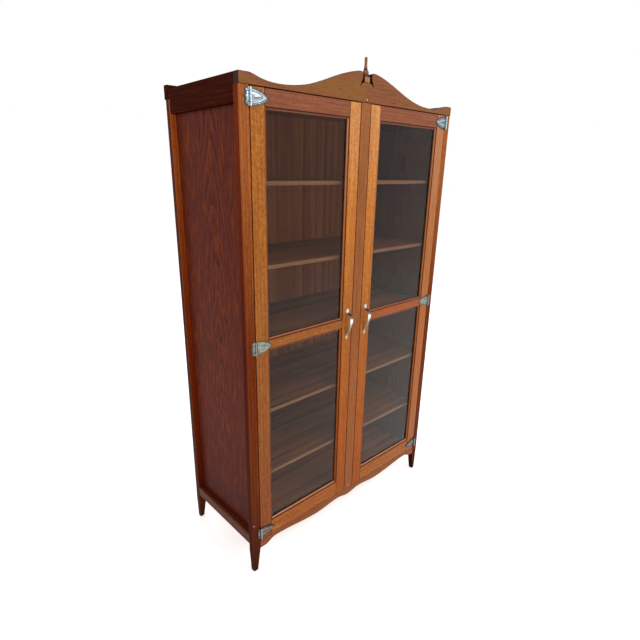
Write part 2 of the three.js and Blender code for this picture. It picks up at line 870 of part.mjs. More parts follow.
function frameLeafHalf(reach) {
  const edge = frameLeafWidth;
  const high = hingeHeight / 2;
  return [
    [0, high],
    [edge * 0.65, high - 0.8],
    [edge * 0.92, high - 3.2],
    [edge, high - 7.5],
    [edge - 0.8, high * 0.35],
    [edge + 0.6, high * 0.14],
    [reach, 0],
  ];
}

function doorLeafHalf(reach) {
  const high = hingeHeight / 2;
  const neck = [reach * 0.87, high * 0.17];
  return [
    [0, high],
    ...curve([0, high], [reach * 0.38, high * 0.98], [reach * 0.66, high * 0.62], neck, 7),
    [reach, 0],
  ];
}

function leafPlate(outline, side) {
  const centre = outline.reduce((sum, [d]) => sum + d, 0) / outline.length;
  const widest = Math.max(...outline.map(([d]) => d));
  const inset = (d, h) => {
    const shareAcross = 1 - (2 * leafRim) / widest;
    const shareUp = 1 - (2 * leafRim) / hingeHeight;
    return [centre + (d - centre) * shareAcross, h * shareUp];
  };
  const ring = (points, y) => points.map(([d, h]) => [hingeAxisX + side * d, y, h]);
  const field = outline.map(([d, h]) => inset(d, h));
  const rings = [
    ring(outline, -fitGap),
    ring(outline, -fitGap - leafThickness),
    ring(field, -fitGap - leafThickness - leafCrown),
  ];
  return joined([leafLoft(rings, side), leafBoss(outline, widest, side)]);
}

function leafLoft(rings, side) {
  return loft(side > 0 ? rings.map((points) => [...points].reverse()) : rings, [0, 2]);
}

// The inner raised part of a leaf, of the same outline but shorter and lower.
function leafBoss(outline, widest, side) {
  const field = -fitGap - leafThickness - leafCrown;
  const ring = (share, y) => outline.map(([d, h]) => {
    const across = bossStart + (d / widest) * (widest * bossShare * share - bossStart);
    return [hingeAxisX + side * across, y, h * bossHeightShare * share];
  });
  return leafLoft([ring(1, field + leafCrown / 2), ring(1, field), ring(0.93, field - bossRise)], side);
}

function knuckleSpan(k) {
  const pitch = hingeHeight / knuckleCount;
  return [-hingeHeight / 2 + k * pitch, -hingeHeight / 2 + (k + 1) * pitch];
}

// Even knuckles belong to the leaf on the frame and odd ones to the leaf on the door.
function leafWithKnuckles(plate, ownParity) {
  const clear = barrelRadius + fitGap + 0.1;
  const own = [];
  const others = [];
  for (let k = 0; k < knuckleCount; k += 1) {
    const [low, high] = knuckleSpan(k);
    if (k % 2 === ownParity) {
      const start = k === 0 ? low : low + knuckleGap / 2;
      const end = k === knuckleCount - 1 ? high : high - knuckleGap / 2;
      own.push(rod(hingeAxisX, -barrelLift, barrelRadius, start, end));
    } else {
      others.push(box(
        hingeAxisX - clear, hingeAxisX + clear, -barrelLift - clear, through,
        low - knuckleGap / 2, high + knuckleGap / 2,
      ));
    }
  }
  return joined([cutBy(plate, others), ...own]);
}

function hingeFrameLeaf() {
  const plate = leafPlate(leafOutline(frameLeafReach, frameLeafHalf), 1);
  const end = hingeHeight / 2;
  const pin = turned([
    [0, -end - pinHeadHeight],
    [pinHeadRadius - 1, -end - pinHeadHeight],
    [pinHeadRadius, -end],
    [pinRadius, -end],
    [pinRadius, end],
    [pinHeadRadius, end],
    [pinHeadRadius - 1, end + pinHeadHeight],
    [0, end + pinHeadHeight],
  ], 16, hingeAxisX, -barrelLift);
  return joined([leafWithKnuckles(plate, 0), pin]);
}

function hingeDoorLeaf() {
  const plate = leafPlate(leafOutline(doorLeafReach, doorLeafHalf), -1);
  const bore = rod(hingeAxisX, -barrelLift, pinRadius + fitGap, -hingeHeight, hingeHeight);
  return cutBy(leafWithKnuckles(plate, 1), [bore]);
}

const hingeHeights = {
  top: doorTop - hingeTopInset,
  middle: middleRailCentre,
  bottom: doorBottom + hingeBottomInset,
};

// Pull: two leaf-shaped feet flat on the stile and a half-round bow that leaves the upper foot
// steeply, turns near its top and runs back in a long taper to the lower foot.
function pullStations() {
  const half = pullLength / 2;
  const footEnd = half - pullFootLength;
  const rise = footEnd - pullBend;
  const foot = pullFootThickness;
  const bar = pullBarThickness;
  return [
    { z: half, out: foot * 0.6, width: 3, thick: foot * 0.5 },
    { z: half - 4, out: foot, width: pullFootWidth * 0.75, thick: foot },
    { z: half - 11, out: foot, width: pullFootWidth, thick: foot },
    { z: footEnd + 3, out: foot * 1.2, width: pullFootWidth * 0.72, thick: foot * 1.2 },
    { z: footEnd - rise * 0.2, out: pullReach * 0.36, width: pullBarWidth * 0.75, thick: bar },
    { z: footEnd - rise * 0.5, out: pullReach * 0.72, width: pullBarWidth * 0.9, thick: bar },
    { z: footEnd - rise * 0.85, out: pullReach * 0.95, width: pullBarWidth, thick: bar },
    { z: pullBend - 4, out: pullReach, width: pullBarWidth, thick: bar },
    { z: pullBend - 16, out: pullReach * 0.93, width: pullBarWidth * 0.92, thick: bar * 0.9 },
    { z: -18, out: pullReach * 0.65, width: pullBarWidth * 0.78, thick: bar * 0.8 },
    { z: -footEnd + 8, out: pullReach * 0.35, width: pullBarWidth * 0.66, thick: bar * 0.75 },
    { z: -footEnd - 2, out: foot * 1.3, width: pullFootWidth * 0.66, thick: foot * 1.3 },
    { z: -half + 12, out: foot, width: pullFootWidth * 0.86, thick: foot },
    { z: -half + 4, out: foot, width: pullFootWidth * 0.6, thick: foot },
    { z: -half, out: foot * 0.6, width: 3, thick: foot * 0.5 },
  ];
}

function pull() {
  const sides = 9;
  const stations = pullStations();
  const rings = stations.map((station, i) => {
    const before = stations[Math.max(i - 1, 0)];
    const after = stations[Math.min(i + 1, stations.length - 1)];
    const way = new THREE.Vector2(before.out - after.out, after.z - before.z).normalize();
    const ring = [];
    for (let s = 0; s < sides; s += 1) {
      const angle = (s / (sides - 1)) * Math.PI;
      const across = (station.width / 2) * Math.cos(angle);
      const deep = station.thick * (1 - Math.sin(angle));
      const y = -station.out + deep * Math.abs(way.y) - fitGap;
      ring.push([pullX + across, y, pullZ + station.z - deep * way.x * Math.sign(way.y)]);
    }
    return ring;
  });
  return loft(rings, [0, 1]);
}

// Catches: a magnet block with two pole plates under the top board, and a strike on the door.
function doorCatch() {
  const front = doorThickness + strikeThickness + fitGap * 2 + polePlateReach;
  const top = topBoardUnderside - fitGap;
  const half = catchWidth / 2;
  const block = box(
    catchX - half, catchX + half, front, front + catchDepth, top - catchHeight, top,
  );
  const poles = [1, -1].map((way) => {
    const middle = top - catchHeight / 2 + way * catchHeight * 0.2;
    return box(
      catchX - half + 8, catchX + half - 8, front - polePlateReach, front + 4,
      middle - polePlateThickness / 2, middle + polePlateThickness / 2,
    );
  });
  return joined([block, ...poles]);
}

function catchStrike() {
  const middle = topBoardUnderside - fitGap - catchHeight / 2;
  return box(
    catchX - strikeWidth / 2, catchX + strikeWidth / 2,
    doorThickness + fitGap, doorThickness + fitGap + strikeThickness,
    middle - strikeHeight / 2, middle + strikeHeight / 2,
  );
}

// Assembly
function addPiece(group, name, solid, material) {
  const mesh = new THREE.Mesh(geometryFrom(solid), material);
  mesh.name = name;
  group.add(mesh);
  return mesh;
}

function addPair(group, name, solid, material) {
  addPiece(group, `${name}_left`, mirrored(solid), material);
  addPiece(group, `${name}_right`, solid, material);
}

function buildCarcase() {
  const carcase = new THREE.Group();
  addPair(carcase, 'post_front', frontPost(), amberWood);
  addPair(carcase, 'post_rear', rearPost(), amberWood);
  addPiece(carcase, 'crest_board', crestBoard(), redWood);
  addPiece(carcase, 'finial', finial(), redWood);
  addPiece(carcase, 'centre_stile', centreStile(), amberWood);
  addPiece(carcase, 'apron', apron(), redWood);
  addPair(carcase, 'side_rail_top', sideTopRail(), darkWood);
  addPair(carcase, 'side_rail_bottom', sideBottomRail(), redWood);
  addPair(carcase, 'side_panel', sidePanel(), sideWood);
  addPiece(carcase, 'back_panel', backPanel(), backWood);
  addPiece(carcase, 'rear_top_rail', rearTopRail(), redWood);
  addPiece(carcase, 'rear_bottom_rail', rearBottomRail(), redWood);
  addPiece(carcase, 'top_board', topBoard(), backWood);
  addPiece(carcase, 'bottom_board', bottomBoard(), backWood);
  shelfUndersides().forEach((underside, k) => {
    addPiece(carcase, `shelf_${k + 1}`, shelf(underside), shelfWood);
  });
  addPair(carcase, 'door_catch', doorCatch(), plastic);
  for (const [place, height] of Object.entries(hingeHeights)) {
    for (const mesh of addHingePair(carcase, `hinge_frame_leaf_${place}`)) {
      mesh.position.z = height;
    }
  }
  return carcase;
}

function addHingePair(group, name) {
  const leaf = hingeFrameLeaf();
  return [
    addPiece(group, `${name}_left`, mirrored(leaf), nickel),
    addPiece(group, `${name}_right`, leaf, nickel),
  ];
}

function buildDoor(name, handed) {
  const door = new THREE.Group();
  const add = (piece, solid, material) => addPiece(door, `${name}_${piece}`, handed(solid), material);
  add('hinge_stile', doorStile(hingeStileBar), amberWood);
  add('meeting_stile', doorStile(meetingStileBar), amberWood);
  add('top_rail', doorTopRail(), redWood);
  add('middle_rail', doorMiddleRail(), amberWood);
  add('bottom_rail', doorBottomRail(), amberWood);
  for (const [place, span] of Object.entries(paneSpans)) {
    add(`${place}_glass`, glassPane(span), clearGlass);
    add(`${place}_glass_bead`, glazingBead(span), redWood);
  }
  add('pull', pull(), nickel);
  add('catch_strike', catchStrike(), steel);
  for (const [place, height] of Object.entries(hingeHeights)) {
    add(`hinge_leaf_${place}`, hingeDoorLeaf(), nickel).position.z = height;
  }
  return door;
}

const cabinet = new THREE.Group();
cabinet.add(buildCarcase());
cabinet.add(buildDoor('left_door', (solid) => mirrored(solid)));
cabinet.add(buildDoor('right_door', (solid) => solid));
cabinet.position.y = -originY;

export default cabinet;
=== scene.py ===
"""Looks of a varnished display cabinet with two glazed doors.

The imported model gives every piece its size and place. This script rounds the wooden edges,
remakes the finial, the butterfly hinges and the pulls as fine surfaces, adds the screw and nail
heads, and finishes each piece as the varnished wood, plated metal, glass or plastic that it is.
"""

import json
import logging
import math
from abc import ABC, abstractmethod
from dataclasses import dataclass, field
from enum import Enum
from functools import cached_property

import bmesh
import bpy
import numpy as np
from mathutils import Matrix, Vector


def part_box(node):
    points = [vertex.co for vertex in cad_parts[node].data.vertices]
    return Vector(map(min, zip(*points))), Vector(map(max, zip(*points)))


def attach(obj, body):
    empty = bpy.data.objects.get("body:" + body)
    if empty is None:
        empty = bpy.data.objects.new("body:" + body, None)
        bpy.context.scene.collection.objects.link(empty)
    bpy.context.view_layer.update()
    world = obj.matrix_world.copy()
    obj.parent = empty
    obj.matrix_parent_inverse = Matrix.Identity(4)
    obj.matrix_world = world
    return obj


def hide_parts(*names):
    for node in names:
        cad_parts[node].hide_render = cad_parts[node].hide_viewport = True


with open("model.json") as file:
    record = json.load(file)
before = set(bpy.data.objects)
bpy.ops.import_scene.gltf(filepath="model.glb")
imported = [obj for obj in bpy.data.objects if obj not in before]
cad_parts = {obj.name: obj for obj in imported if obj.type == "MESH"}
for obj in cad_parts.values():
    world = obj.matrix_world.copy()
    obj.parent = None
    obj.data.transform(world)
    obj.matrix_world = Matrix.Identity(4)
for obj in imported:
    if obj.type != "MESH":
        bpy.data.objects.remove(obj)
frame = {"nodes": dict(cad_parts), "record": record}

MM = 0.001
TARNISH_AND_PAINTED_LIGHT = "tarnish"  # attribute: 0 where bright from rubbing and a painted highlight, 0.35 on plain plate, 1 where dark from tarnish and painted shade
PLAIN_PLATE = 0.35
GRIME_AND_SHADE = "grime"  # attribute: 1 where dirt and painted shade darken a moulding's quirk and the finial's creases
GRIME_AND_SHADE_TINT = "#70452c"
PORE_TINT = "#5a2c18"
SPECK = "#f0cf9c"
SIDES = ("left", "right")
LOG = logging.getLogger("cabinet")
RECORD = frame["record"]
BODY_OF = {node: body for body, nodes in RECORD["behaviour"]["bodies"].items() for node in nodes}

Material = bpy.types.Material
Mesh = bpy.types.Mesh
Object = bpy.types.Object
Socket = bpy.types.NodeSocket
Settings = dict[int | str, object]
Triple = tuple[float, float, float]
Array = np.ndarray
Shell = tuple[Array, Array]  # points in metres, and faces of four corners


def linear(colour: str) -> tuple[float, float, float, float]:
    """Turn an sRGB hex colour into linear light.

    Args:
        colour: Six hex digits, with or without a leading #.

    Returns:
        Red, green, blue and an alpha of 1.
    """
    digits = colour.lstrip("#")
    parts = [int(digits[i:i + 2], 16) / 255 for i in (0, 2, 4)]
    low = [part / 12.92 if part <= 0.04045 else ((part + 0.055) / 1.055) ** 2.4 for part in parts]
    return (*low, 1.0)


def add_node(
    tree: bpy.types.NodeTree, kind: str, settings: Settings | None = None
) -> bpy.types.Node:
    """Add one node, set its values and link its inputs.

    Args:
        tree: The node tree to add to.
        kind: Blender's name for the node, less the "ShaderNode" that it starts with.
        settings: Values, hex colours or sockets by the name or number of an input or the name
            of a property. "stops" holds a colour ramp's places and colours.

    Returns:
        The new node.
    """
    node = tree.nodes.new(f"ShaderNode{kind}")
    for key, value in (settings or {}).items():
        if isinstance(value, str) and value.startswith("#"):
            value = linear(value)
        if key == "stops":
            ramp = node.color_ramp.elements
            while len(ramp) < len(value):
                ramp.new(0.5)
            for element, (place, colour) in zip(ramp, value):
                element.position, element.color = place, linear(colour)
        elif isinstance(value, Socket):
            tree.links.new(value, node.inputs[key])
        elif isinstance(key, int) or key in node.inputs:
            node.inputs[key].default_value = value
        else:
            setattr(node, key, value)
    return node


class Grain(Enum):
    """The axis that the wood's fibres run along."""

    ACROSS_WIDTH = 0
    ACROSS_DEPTH = 1
    UPRIGHT = 2


@dataclass
class Net:
    """A node tree, with short ways to add the nodes that several finishes use."""

    tree: bpy.types.NodeTree
    grain: Grain | None = None

    def __post_init__(self) -> None:
        """Start with no nodes."""
        self.tree.nodes.clear()

    def get(self, kind: str, output: int | str, settings: Settings | None = None) -> Socket:
        """Add a node and give one of its outputs."""
        return add_node(self.tree, kind, settings).outputs[output]

    @cached_property
    def place(self) -> Socket:
        """Give the piece's own coordinates, which are the cabinet's at rest."""
        return self.get("TexCoord", "Object")

    def fibrous(self, width: float, length: float, shift: Triple = (0, 0, 0)) -> Socket:
        """Scale space so that noise is drawn out along the fibres.

        Args:
            width: What a unit measures across them, in metres.
            length: How many widths it measures along them.
            shift: How far the scaled space is moved.

        Returns:
            The scaled coordinates.
        """
        scale = [1 / width] * 3
        scale[self.grain.value] /= length
        return self.get("Mapping", "Vector", {
            "Vector": self.place, "Scale": scale, "Location": shift,
        })

    def noise(
        self, space: Socket, scale: float = 1, detail: float = 2, roughness: float = 0.5,
        distortion: float = 0,
    ) -> Socket:
        """Add clouds whose value is mostly near 0.5."""
        return self.get("TexNoise", "Fac", {
            "Vector": space, "Scale": scale, "Detail": detail, "Roughness": roughness,
            "Distortion": distortion,
        })

    def ranged(
        self, value: Socket, start: float, stop: float, low: float = 0, high: float = 1
    ) -> Socket:
        """Give low where a value is at start, changing evenly to high where it is at stop."""
        return self.get("MapRange", "Result", {
            "Value": value, "From Min": start, "From Max": stop, "To Min": low, "To Max": high,
        })

    def calc(self, operation: str, *values: Socket | float) -> Socket:
        """Work out one number from up to three others."""
        return self.get("Math", "Value", {"operation": operation, **dict(enumerate(values))})

    def part(self, vector: Socket, axis: str) -> Socket:
        """Take one coordinate of a vector."""
        return self.get("SeparateXYZ", axis, {"Vector": vector})

    def ramp(self, value: Socket, *stops: tuple[float, str]) -> Socket:
        """Colour a value by places from 0 to 1 and their colours."""
        return self.get("ValToRGB", "Color", {"Fac": value, "stops": stops})

    def over(
        self, share: Socket | float, base: Socket | str, top: Socket | str, blend: str = "MIX"
    ) -> Socket:
        """Lay a colour over another one by a share from 0 to 1."""
        return self.get("Mix", 2, {
            "data_type": "RGBA", "blend_type": blend, 0: share, 6: base, 7: top,
        })

    def tinted(self, share: Socket | float, base: Socket | str, tint: Socket | str) -> Socket:
        """Multiply a tint into a colour by a share from 0 to 1."""
        return self.over(share, base, tint, "MULTIPLY")

    def bump(self, height: Socket, strength: float, distance: float) -> Socket:
        """Bend the normal over small heights."""
        return self.get("Bump", "Normal", {
            "Height": height, "Strength": strength, "Distance": distance,
        })


@dataclass(frozen=True)
class Finish(ABC):
    """What a piece's surface is made of. Its material is made once and then shared."""

    name: str

    @abstractmethod
    def shade(self, net: Net) -> Settings:
        """Add the nodes of this finish.

        Args:
            net: The material's nodes.

        Returns:
            The inputs of its shader.
        """

    def material(self, grain: Grain | None = None) -> Material:
        """Make the material, or find it if it has been made.

        Args:
            grain: The way that the fibres run, if this is wood.

        Returns:
            The material.
        """
        name = f"{self.name}_{grain.name.lower()}" if grain else self.name
        if name not in bpy.data.materials:
            material = bpy.data.materials.new(name)
            material.use_nodes = True
            net = Net(material.node_tree, grain)
            shader = net.get("BsdfPrincipled", "BSDF", self.shade(net))
            add_node(net.tree, "OutputMaterial", {"Surface": shader})
        return bpy.data.materials[name]


@dataclass(frozen=True)
class VarnishedWood(Finish):
    """Open-grained hardwood under a glossy brushed varnish.

    The eye sees long streaks of light and dark wood, a mottled figure in them, short dark pores
    and a few pale specks, all under a smooth coat that gives soft bright edges, helped by a painted
    highlight on the arrises, with painted shade on the sides. Widths are in metres and lengths in
    widths. The height tint, darker towards the bottom, is given by height in metres.
    """

    dark: str
    body: str
    light: str
    spread: float = 0.2
    streak: float = 5 * MM
    streak_length: float = 30
    waver: float = 0.4
    ring: float = 11 * MM
    ring_length: float = 1 / 0.06
    ring_share: float = 0.2
    pith: float = 0.0
    pith_lean: float = 0.236
    mottle: float = 10 * MM
    mottle_share: float = 0.25
    fibre: float = 1.5 * MM
    fibre_length: float = 40
    pore: float = 2.2 * MM
    pore_length: float = 14
    pore_depth: float = 0.28
    speck_pitch: float = 42 * MM
    speck_share: float = 0.0
    roughness: float = 0.4
    specular: float = 0.1
    coat: float = 0.1
    coat_roughness: float = 0.14
    # Painted shade: faces turned away from the front are darkened by this colour.
    side_shade: str = ""
    side_start: float = 0.6
    side_blur: float = 0.25
    # Painted highlight, partly wear: arrises and mouldings turned partly from the front are
    # lightened by this colour.
    arris_highlight: str = ""
    arris_highlight_share: float = 0.5
    patch: str = ""
    patch_width: float = 20 * MM
    patch_start: float = 0.5
    patch_blur: float = 0.18
    patch_length: float = 4.5
    patch_share: float = 0.85
    edge: str = ""
    height_tint: tuple[tuple[float, str], ...] = ()

    def shade(self, net: Net) -> Settings:
        """Lay figure, fibres and varnish together.

        Args:
            net: The material's nodes.

        Returns:
            The shader's inputs.
        """
        figure = self._figure(net)
        fibres = net.noise(net.fibrous(self.fibre, self.fibre_length))
        return {
            "Base Color": self._colour(net, figure), "IOR": 1.5,
            "Roughness": net.ranged(figure, 0, 1, self.roughness - 0.06, self.roughness + 0.08),
            "Normal": net.bump(fibres, 0.22, 0.25 * MM), "Specular IOR Level": self.specular,
            "Coat Weight": self.coat, "Coat Roughness": self.coat_roughness,
        }

    def _figure(self, net: Net) -> Socket:
        """Weigh streaks, growth rings and mottle into one value from 0 to 1.

        A pith leans the tree's middle out of an upright board, so that its rings close in
        pointed arches. Boards on either side of the cabinet are mirror images.

        Args:
            net: The material's nodes.

        Returns:
            The value.
        """
        streaks = net.noise(net.fibrous(self.streak, self.streak_length), 1, 5, 0.6, self.waver)
        rings = 1 / self.ring
        if self.pith:
            mirrored = net.get("CombineXYZ", "Vector", {
                "X": net.calc("ABSOLUTE", net.part(net.place, "X")),
                "Y": net.part(net.place, "Y"), "Z": net.part(net.place, "Z"),
            })
            pith = -self.pith * rings * math.cos(self.pith_lean)
            ring_space = net.get("Mapping", "Vector", {
                "Vector": mirrored, "Scale": (rings, rings, rings * 0.3),
                "Location": (pith, 0.4, 0), "Rotation": (0, self.pith_lean, 0),
            })
        else:
            ring_space = net.fibrous(self.ring, self.ring_length)
        ring_lines = net.get("TexWave", "Fac", {
            "wave_type": "RINGS", "rings_direction": "XYZ"[net.grain.value], "wave_profile": "SAW",
            "Scale": math.pi / 10, "Distortion": 5.0, "Detail": 2.0, "Detail Scale": 0.6,
            "Vector": ring_space,
        })
        mottle = net.noise(net.place, 1 / self.mottle, 3, 0.55)
        total = net.calc("MULTIPLY_ADD", streaks, 1 - self.ring_share - self.mottle_share, 0.0)
        total = net.calc("MULTIPLY_ADD", ring_lines, self.ring_share, total)
        return net.calc("MULTIPLY_ADD", mottle, self.mottle_share, total)

    def _colour(self, net: Net, figure: Socket) -> Socket:
        """Colour the figure, then add patches, pores, specks, painted side shade, painted arris
        highlights (partly wear), dirt with painted shade in quirks, and a tint by height.

        Args:
            net: The material's nodes.
            figure: The figure's value from 0 to 1.

        Returns:
            The colour.
        """
        colour = net.ramp(figure, (0.5 - self.spread, self.dark), (0.5, self.body),
                          (0.5 + self.spread, self.light))
        if self.patch:
            space = net.fibrous(self.patch_width, self.patch_length, (3.1, 1.7, 0.4))
            patches = net.noise(space, distortion=0.3)
            end = self.patch_start + self.patch_blur
            share = net.ranged(patches, self.patch_start, end, 0, self.patch_share)
            colour = net.over(share, colour, self.patch)
        pores = net.noise(net.fibrous(self.pore, self.pore_length), 1, 1)
        colour = net.tinted(net.ranged(pores, 0.56, 0.72, 0, self.pore_depth), colour, PORE_TINT)
        if self.speck_share:
            distance = net.get("TexVoronoi", "Distance", {
                "Vector": net.place, "Scale": 1 / self.speck_pitch,
            })
            near = net.ranged(distance, 0.035, 0.055, self.speck_share, 0)
            colour = net.over(near, colour, SPECK)
        colour = self._by_facing(net, colour)
        # Dirt and painted shade in the quirks.
        grime = net.get("Attribute", "Fac", {"attribute_name": GRIME_AND_SHADE})
        colour = net.tinted(grime, colour, GRIME_AND_SHADE_TINT)
        # A tint by height, darker towards the bottom.
        if not self.height_tint:
            return colour
        top = 2.0
        height = net.calc("DIVIDE", net.part(net.place, "Z"), top)
        stops = [(level / top, tint) for level, tint in self.height_tint]
        return net.tinted(1.0, colour, net.ramp(height, *stops))

    def _by_facing(self, net: Net, colour: Socket) -> Socket:
        """Paint shade on the sides, paint a highlight (partly wear) on the arrises between side and
        front, colour the edge.

        Args:
            net: The material's nodes.
            colour: The wood's colour.

        Returns:
            The colour by the way that the surface faces.
        """
        front = net.calc("ABSOLUTE", net.part(net.get("TexCoord", "Normal"), "Y"))
        # Painted shade on the faces turned away from the front.
        if self.side_shade:
            aside = net.ranged(front, self.side_start, self.side_start - self.side_blur)
            colour = net.tinted(aside, colour, self.side_shade)
        # Painted highlight, partly wear, on the arrises and mouldings.
        if self.arris_highlight:
            between = net.calc("MULTIPLY", front, net.calc("SUBTRACT", 1.0, front))
            wear_and_light = net.ranged(between, 0.06, 0.2, 0, self.arris_highlight_share)
            colour = net.over(wear_and_light, colour, self.arris_highlight)
        if self.edge:
            colour = net.over(net.ranged(front, 0.3, 0.6), colour, self.edge)
        return colour


@dataclass(frozen=True)
class PlatedMetal(Finish):
    """Cast or pressed metal under bright plate.

    Nickel plate gives a cool grey mirror, softened by handling, with faint dull clouds, bright
    ridges where it is rubbed and where a highlight is painted, and dark tarnish with painted shade
    in its grooves and hollows. Zinc plate is greyer and duller.
    """

    colour: str
    cloud: str
    roughness: float
    rubbed_sheen: str = ""
    tarnish: str = "#2f2c2a"

    def shade(self, net: Net) -> Settings:
        """Lay clouds, wear with painted highlights, and tarnish with painted shade over the plate.

        Args:
            net: The material's nodes.

        Returns:
            The shader's inputs.
        """
        clouds = net.noise(net.place, 1 / (5 * MM), 4, 0.6)
        colour = net.ramp(clouds, (0.3, self.cloud), (0.62, self.colour))
        if self.rubbed_sheen:
            wear_and_light = net.get("Attribute", "Fac", {"attribute_name": TARNISH_AND_PAINTED_LIGHT})
            colour = net.over(net.ranged(wear_and_light, PLAIN_PLATE, 0), colour, self.rubbed_sheen)
            colour = net.over(net.ranged(wear_and_light, PLAIN_PLATE, 1), colour, self.tarnish)
        pits = net.noise(net.place, 1 / (1.2 * MM))
        return {
            "Base Color": colour, "Metallic": 1.0, "Normal": net.bump(pits, 0.14, 0.12 * MM),
            "Roughness": net.ranged(clouds, 0, 1, self.roughness + 0.1, self.roughness - 0.04),
        }


@dataclass(frozen=True)
class WindowGlass(Finish):
    """Drawn 3 mm window glass, clear and smooth, with a trace of dust that dulls it in clouds."""

    name: str = "window_glass"
    colour: str = "#f1f6f3"
    dust: str = "#efe2d2"
    ior: float = 1.2  # below glass's 1.5, so that the white studio stays as faint as a dark yard

    def shade(self, net: Net) -> Settings:
        """Let light through, a little browner where dust lies.

        Args:
            net: The material's nodes.

        Returns:
            The shader's inputs.
        """
        dust = net.noise(net.place, 1 / (90 * MM), 5, 0.65)
        return {
            "Base Color": net.over(dust, self.colour, self.dust), "Roughness": 0.0,
            "IOR": self.ior, "Transmission Weight": 1.0,
        }


@dataclass(frozen=True)
class MouldedPlastic(Finish):
    """Injection-moulded brown plastic with a fine even texture from the mould."""

    colour: str
    fleck: str = "#2b1c12"

    def shade(self, net: Net) -> Settings:
        """Mix in darker flecks and raise them a little.

        Args:
            net: The material's nodes.

        Returns:
            The shader's inputs.
        """
        texture = net.noise(net.place, 1 / (0.8 * MM))
        return {
            "Base Color": net.over(texture, self.colour, self.fleck), "Roughness": 0.55,
            "Normal": net.bump(texture, 0.3, 0.1 * MM),
        }


AMBER = VarnishedWood(
    "amber_varnished_wood", "#8f4713", "#aa6321", "#cd8a2e", speck_share=0.6, mottle=7 * MM,
    mottle_share=0.5, ring_share=0.1, specular=0.12, coat=0.12, side_shade="#8a5a3c", side_start=0.3,
    arris_highlight="#cc8260", arris_highlight_share=0.7, height_tint=((0.1, "#cca486"), (0.5, "#d8c8ba"),
    (0.9, "#e8e0da"), (1.6, "#ffffff")),
)
# The meeting stiles' wood: a lighter copy of AMBER, painted light that falls more on them.
MEETING = VarnishedWood(
    "lit_amber_varnished_wood", "#b26e38", "#cf8a50", "#e6aa66", speck_share=0.5, mottle=7 * MM,
    mottle_share=0.5, ring_share=0.1, specular=0.06, side_shade="#8a5a3c", side_start=0.3,
    arris_highlight="#cf8c6c", arris_highlight_share=0.8, height_tint=((0.1, "#ca9844"), (0.5, "#d2a250"),
    (0.95, "#dcbe84"), (1.35, "#f4dcac"), (1.6, "#ffffff")),
)
BROWN = VarnishedWood(
    "brown_varnished_wood", "#9c6036", "#b8784a", "#ce905e", speck_share=0.3, mottle=8 * MM,
    mottle_share=0.4, ring_share=0.1, side_shade="#8a5a3c", side_start=0.3, arris_highlight="#c08060",
    height_tint=((0.1, "#ecc88c"), (0.9, "#f2d49c"), (1.3, "#f8e8cc"), (1.6, "#ffffff")),
)
POST = VarnishedWood(
    "post_wood", "#864212", "#a25a2c", "#bc7442", specular=0.01, coat=0.04, side_shade="#b07038",
    mottle_share=0.35, arris_highlight="#b87848", arris_highlight_share=0.3, speck_share=0.4,
    height_tint=((0.02, "#785264"), (0.35, "#b0948e"), (0.9, "#b48c68"), (1.5, "#ffffff")),
)
REAR = VarnishedWood(
    "rear_post_wood", "#9c4410", "#bc5a20", "#d07434", specular=0.03, coat=0.04,
    side_shade="#6a3a2c", mottle_share=0.35, arris_highlight="#b87848", arris_highlight_share=0.3,
    height_tint=((0.02, "#754550"), (0.35, "#ac867e"), (0.9, "#c8a098"), (1.5, "#ffffff")),
)
CENTRE = VarnishedWood(
    "centre_stile_wood", "#824a24", "#a26334", "#bc7c46", side_shade="#8a5a3c", arris_highlight="#b87850",
    patch="#96582c", patch_width=26 * MM, height_tint=((0.2, "#f6e2a8"), (0.9, "#fae8c0"),
    (1.6, "#ffffff")),
)
RED = VarnishedWood(
    "red_varnished_wood", "#703c22", "#885032", "#9c6440", spread=0.26, ring_share=0.12,
    mottle_share=0.35, specular=0.08, side_shade="#40282c", arris_highlight="#a8755c", patch="#8a5a2a",
    patch_width=55 * MM, patch_start=0.42,
)
TOP = VarnishedWood(
    "top_rail_wood", "#753c20", "#8c5034", "#a06446", ring_share=0.12, mottle_share=0.35,
    side_shade="#6a4634", side_start=0.3, arris_highlight="#a86a4a",
)
RUST = VarnishedWood(
    "rust_varnished_wood", "#883a12", "#a2501f", "#bc6c30", specular=0.12, coat=0.12,
    mottle_share=0.35, side_shade="#8a5a3c", side_start=0.3, arris_highlight="#c27c5c",
)
BOTTOM = VarnishedWood(
    "bottom_rail_wood", "#82400f", "#a6591e", "#c27a2e", specular=0.08, spread=0.13, mottle=8 * MM,
    mottle_share=0.5, ring_share=0.1, side_shade="#8a5a3c", side_start=0.3, arris_highlight="#d29272",
    arris_highlight_share=0.8,
)
APRON = VarnishedWood(
    "apron_wood", "#70381a", "#8e4c22", "#a66630", specular=0.08, mottle_share=0.35,
    side_shade="#6a4634", arris_highlight="#a8704c",
)
LOWER = VarnishedWood(
    "lower_rail_wood", "#441e0e", "#5a2a16", "#6c3a20", specular=0.04, coat=0.05, mottle_share=0.35,
    arris_highlight="#9a6040", arris_highlight_share=0.7,
)
SIDE = VarnishedWood(
    "side_panel_wood", "#44180f", "#5c251a", "#6c3328", spread=0.16, streak=3.6 * MM,
    streak_length=12, waver=1.1, ring=6.5 * MM, ring_share=0.24, pith=0.47, mottle_share=0.05,
    pore_depth=0.35, specular=0.02, coat=0.04, patch="#7c340e", patch_width=14 * MM,
    patch_start=0.51, patch_length=5.5, height_tint=((0.12, "#c88c98"), (0.55, "#fff8f8"),
    (0.9, "#ffffff")),
)
DARK = VarnishedWood(
    "dark_rail_wood", "#2e0e06", "#3c130a", "#4e200e", ring_share=0.12, specular=0.0, coat=0.03,
)
INNER = VarnishedWood(
    "inner_wood", "#7c3814", "#a85a28", "#c2763c", roughness=0.55, coat=0.05, specular=0.15,
    streak=22 * MM, ring=30 * MM,
)
